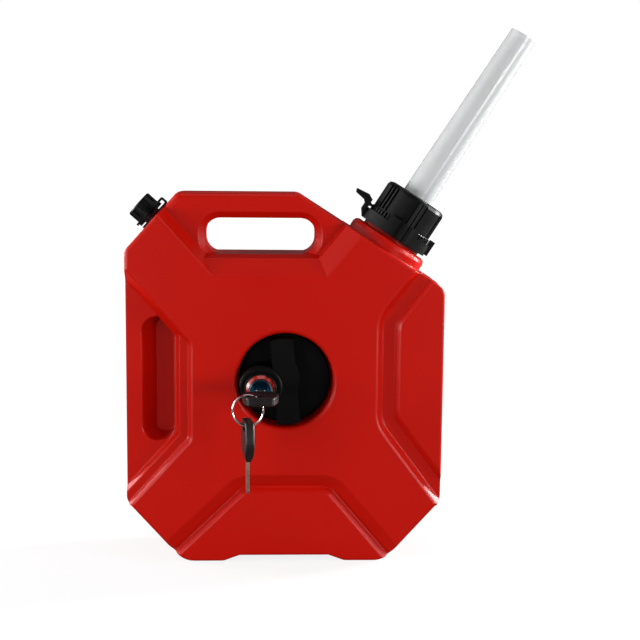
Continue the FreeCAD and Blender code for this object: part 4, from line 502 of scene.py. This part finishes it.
@dataclass
class PlugFace:
    """The thin flat cap pressed on the lock's plug, with a slot for the key."""

    radius: float = 7.9 * MM
    wall: float = 0.25 * MM
    sunk: float = 0.05 * MM
    slot_half_width: float = 3.75 * MM
    slot_half_height: float = 1.2 * MM
    sides: int = 72
    sharp_deg: float = 40.0

    def build(self, material: bpy.types.Material) -> bpy.types.Object:
        """Cuts the key's slot out of a disc and thickens it.

        Args:
            material: The cap's finish.

        Returns:
            The cap, riding on the plug.
        """
        form = bmesh.new()
        bmesh.ops.create_circle(form, cap_ends=True, segments=self.sides, radius=self.radius)
        for vertex in form.verts:
            vertex.co.z = self.wall
        self.cut_slot(form)
        under = bmesh.ops.extrude_face_region(
            form, geom=form.verts[:] + form.edges[:] + form.faces[:], use_keep_orig=True)
        for item in under["geom"]:
            if isinstance(item, bmesh.types.BMVert):
                item.co.z = -self.sunk
        low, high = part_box("lock_plug")
        middle = (low + high) / 2
        form.transform(Matrix.Translation((middle.x, low.y, middle.z))
                       @ Matrix.Rotation(math.pi / 2, 4, "X"))
        cap = new_piece("plug_face", form, material)
        cap.data.shade_smooth()
        cap.data.set_sharp_from_angle(angle=math.radians(self.sharp_deg))
        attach(cap, "plug")
        LOG.info("plug_face has %d faces", len(cap.data.polygons))
        return cap

    def cut_slot(self, form: bmesh.types.BMesh) -> None:
        """Cuts the key's slot out of the disc.

        Args:
            form: The disc, round the origin.
        """
        halves = (
            (Vector((1, 0, 0)), self.slot_half_width),
            (Vector((0, 1, 0)), self.slot_half_height),
        )
        for way, half in halves:
            for side in (1, -1):
                bmesh.ops.bisect_plane(
                    form, geom=form.verts[:] + form.edges[:] + form.faces[:],
                    plane_co=way * half * side, plane_no=way)
        inside = []
        for face in form.faces:
            centre = face.calc_center_median()
            if abs(centre.x) < self.slot_half_width and abs(centre.y) < self.slot_half_height:
                inside.append(face)
        bmesh.ops.delete(form, geom=inside, context="FACES")


@dataclass
class KeyLock:
    """The lock in the knob, its two keys and their ring."""

    wardrobe: Wardrobe
    plug_face: PlugFace = field(default_factory=PlugFace)

    def build(self) -> None:
        """Dresses the lock's and the keys' nodes and caps the plug."""
        self.wardrobe.dress(KNOB_BLACK, "lock_barrel")
        self.wardrobe.dress(CHROME, "lock_bezel")
        # The plug's near-black colour is painted shade for the gap round the lock's face
        self.wardrobe.dress(PLUG_GAP_SHADE, "lock_plug")
        self.plug_face.build(self.wardrobe.material(BLUE_LACQUER))
        self.wardrobe.dress(BRASS, "lock_wafers")
        self.wardrobe.dress(ZINC, "lock_clip", "lock_cam", "cam_screw")
        self.wardrobe.dress(NICKEL_BRASS, "key_blade", "spare_key_blade")
        self.wardrobe.dress(CHROME, "split_ring")
        self.wardrobe.dress(KEY_BLACK, "key_head", "spare_key_head")


@dataclass(frozen=True)
class Lamp:
    """A soft box that points at the object."""

    name: str
    place: tuple[float, float, float]
    width: float
    height: float
    power: float

    def build(self, target: Vector) -> None:
        """Hangs the lamp.

        Args:
            target: The point it shines at.
        """
        light = bpy.data.lights.new(self.name, "AREA")
        light.shape = "RECTANGLE"
        light.size = self.width
        light.size_y = self.height
        light.energy = self.power
        lamp = bpy.data.objects.new(self.name, light)
        lamp.location = self.place
        lamp.rotation_euler = (target - lamp.location).to_track_quat("-Z", "Y").to_euler()
        bpy.context.scene.collection.objects.link(lamp)


@dataclass
class Studio:
    """White sweep, soft boxes and world light of a catalogue photograph."""

    floor_size: float = 12.0
    floor_gap: float = 0.2 * MM
    paper: str = "727272"
    white: str = "FFFFFF"
    near_glow: float = 0.84
    far_glow: float = 1.0
    shadow_reach: float = 0.5
    ambient: float = 0.36
    front_sheen: float = 0.03
    side_sheen: float = 1.8
    back_sheen: float = 0.1
    side_from: float = 0.5
    side_to: float = 0.95
    back_to: float = 0.8
    lamps: tuple[Lamp, ...] = (
        Lamp("left_key_box", (-1.05, -1.3, 0.16), 0.9, 0.28, 8.6),
        Lamp("right_key_box", (1.05, -1.3, 0.16), 0.9, 0.28, 8.6),
        Lamp("left_side_box", (-1.6, -0.5, 0.35), 0.4, 0.6, 12.0),
        Lamp("right_side_box", (1.6, -0.5, 0.35), 0.22, 0.6, 12.0),
        Lamp("top_box", (0.0, -0.1, 1.7), 1.2, 0.6, 2.5),
        Lamp("left_edge_box", (-1.3, 0.35, 0.4), 0.25, 0.7, 12.0),
        Lamp("right_edge_box", (1.3, 0.45, 0.4), 0.2, 0.7, 34.0),
    )

    def build(self) -> None:
        """Sets up floor, world, lamps and colour management."""
        bpy.context.scene.view_settings.view_transform = "Standard"
        self.lay_floor()
        self.light_world()
        low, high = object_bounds()
        for lamp in self.lamps:
            lamp.build((low + high) / 2)
            LOG.info("%s hangs at %s", lamp.name, lamp.place)

    def lay_floor(self) -> None:
        """Lays the white floor, which keeps the object's soft shadow."""
        form = bmesh.new()
        bmesh.ops.create_grid(form, x_segments=1, y_segments=1, size=self.floor_size / 2)
        material = bpy.data.materials.new("white_paper")
        material.use_nodes = True
        tree = material.node_tree
        tree.nodes.clear()
        output = add_node(tree, "ShaderNodeOutputMaterial", {})
        paper = add_node(tree, "ShaderNodeBsdfDiffuse", {"Color": linear(self.paper)})
        path = add_node(tree, "ShaderNodeLightPath", {})
        seen = add_node(tree, "ShaderNodeMath", {".operation": "MAXIMUM"})
        tree.links.new(path.outputs["Is Camera Ray"], seen.inputs[0])
        tree.links.new(path.outputs["Is Transmission Ray"], seen.inputs[1])
        place = add_node(tree, "ShaderNodeTexCoord", {})
        away = add_node(tree, "ShaderNodeVectorMath", {".operation": "LENGTH"},
                        Vector=place.outputs["Object"])
        white = add_node(tree, "ShaderNodeMapRange", {
            "From Min": self.shadow_reach, "From Max": self.shadow_reach * 2,
            "To Min": self.near_glow, "To Max": self.far_glow,
        }, Value=away.outputs["Value"])
        level = add_node(tree, "ShaderNodeMath", {".operation": "MULTIPLY"})
        tree.links.new(white.outputs["Result"], level.inputs[0])
        tree.links.new(seen.outputs["Value"], level.inputs[1])
        glow = add_node(tree, "ShaderNodeEmission", {"Color": linear(self.white)},
                        Strength=level.outputs["Value"])
        both = add_node(tree, "ShaderNodeAddShader", {})
        tree.links.new(paper.outputs["BSDF"], both.inputs[0])
        tree.links.new(glow.outputs["Emission"], both.inputs[1])
        tree.links.new(both.outputs["Shader"], output.inputs["Surface"])
        floor = new_piece("floor", form, material)
        floor.location = (0.0, 0.0, -self.floor_gap)
        floor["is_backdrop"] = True

    def light_world(self) -> None:
        """Gives an even dim light, and a white backdrop to what looks past the object.

        Gloss shows a room that is dark in front, pale behind and bright at both sides.
        """
        world = bpy.data.worlds.new("studio")
        bpy.context.scene.world = world
        world.use_nodes = True
        tree = world.node_tree
        tree.nodes.clear()
        output = add_node(tree, "ShaderNodeOutputWorld", {})
        place = add_node(tree, "ShaderNodeTexCoord", {})
        parts = add_node(tree, "ShaderNodeSeparateXYZ", {}, Vector=place.outputs["Generated"])
        across = add_node(tree, "ShaderNodeMath", {".operation": "ABSOLUTE"},
                          Value=parts.outputs["X"])
        side = add_node(tree, "ShaderNodeMapRange", {
            "From Min": self.side_from, "From Max": self.side_to,
            "To Min": 0.0, "To Max": self.side_sheen,
        }, Value=across.outputs["Value"])
        back = add_node(tree, "ShaderNodeMapRange", {
            "From Min": 0.0, "From Max": self.back_to,
            "To Min": self.front_sheen, "To Max": self.back_sheen,
        }, Value=parts.outputs["Y"])
        room = add_node(tree, "ShaderNodeMath", {".operation": "MAXIMUM"})
        tree.links.new(side.outputs["Result"], room.inputs[0])
        tree.links.new(back.outputs["Result"], room.inputs[1])
        path = add_node(tree, "ShaderNodeLightPath", {})
        level = add_node(tree, "ShaderNodeMix", {".data_type": "FLOAT"},
                         Factor=path.outputs["Is Glossy Ray"])
        level.inputs["A"].default_value = self.ambient
        tree.links.new(room.outputs["Value"], level.inputs["B"])
        seen = add_node(tree, "ShaderNodeMath", {".operation": "MAXIMUM"})
        tree.links.new(path.outputs["Is Camera Ray"], seen.inputs[0])
        tree.links.new(path.outputs["Is Transmission Ray"], seen.inputs[1])
        whole = add_node(tree, "ShaderNodeMath", {".operation": "MAXIMUM"})
        tree.links.new(level.outputs["Result"], whole.inputs[0])
        tree.links.new(seen.outputs["Value"], whole.inputs[1])
        sky = add_node(tree, "ShaderNodeBackground", {"Color": linear(self.white)},
                       Strength=whole.outputs["Value"])
        tree.links.new(sky.outputs["Background"], output.inputs["Surface"])


@dataclass
class PhotoCamera:
    """The photograph's camera, worked out from the can's outline and the knob's place."""

    place_mm: tuple[float, float, float] = (-51.27, -982.57, 335.7)
    yaw: float = 2.5
    tilt: float = 8.3
    roll: float = 0.6
    focal_px: float = 1290.0
    frame_px: float = 640.0
    sensor_mm: float = 36.0

    def build(self) -> None:
        """Puts the camera in place and makes it the scene's own."""
        yaw, tilt, roll = (math.radians(angle) for angle in (self.yaw, self.tilt, self.roll))
        level_ahead = Vector((math.sin(yaw), math.cos(yaw), 0.0))
        ahead = level_ahead * math.cos(tilt) - Vector((0.0, 0.0, math.sin(tilt)))
        level_right = Vector((math.cos(yaw), -math.sin(yaw), 0.0))
        level_up = level_right.cross(ahead)
        right = level_right * math.cos(roll) + level_up * math.sin(roll)
        up = level_up * math.cos(roll) - level_right * math.sin(roll)
        data = bpy.data.cameras.new("photo_camera")
        data.sensor_width = self.sensor_mm
        data.lens = self.focal_px / self.frame_px * self.sensor_mm
        camera = bpy.data.objects.new("photo_camera", data)
        turn = Matrix((right, up, -ahead)).transposed().to_4x4()
        camera.matrix_world = Matrix.Translation(Vector(self.place_mm) * MM) @ turn
        bpy.context.scene.collection.objects.link(camera)
        bpy.context.scene.camera = camera


def main() -> None:
    """Builds the can's looks around the frame."""
    logging.basicConfig(level=logging.INFO, format="%(name)s: %(message)s")
    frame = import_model()
    wardrobe = Wardrobe(frame["nodes"])
    Can(wardrobe).build()
    PouringSpout(wardrobe).build()
    Vent(wardrobe).build()
    MountKnob(wardrobe).build()
    KeyLock(wardrobe).build()
    Studio().build()
    PhotoCamera().build()


if __name__ == "__main__":
    main()
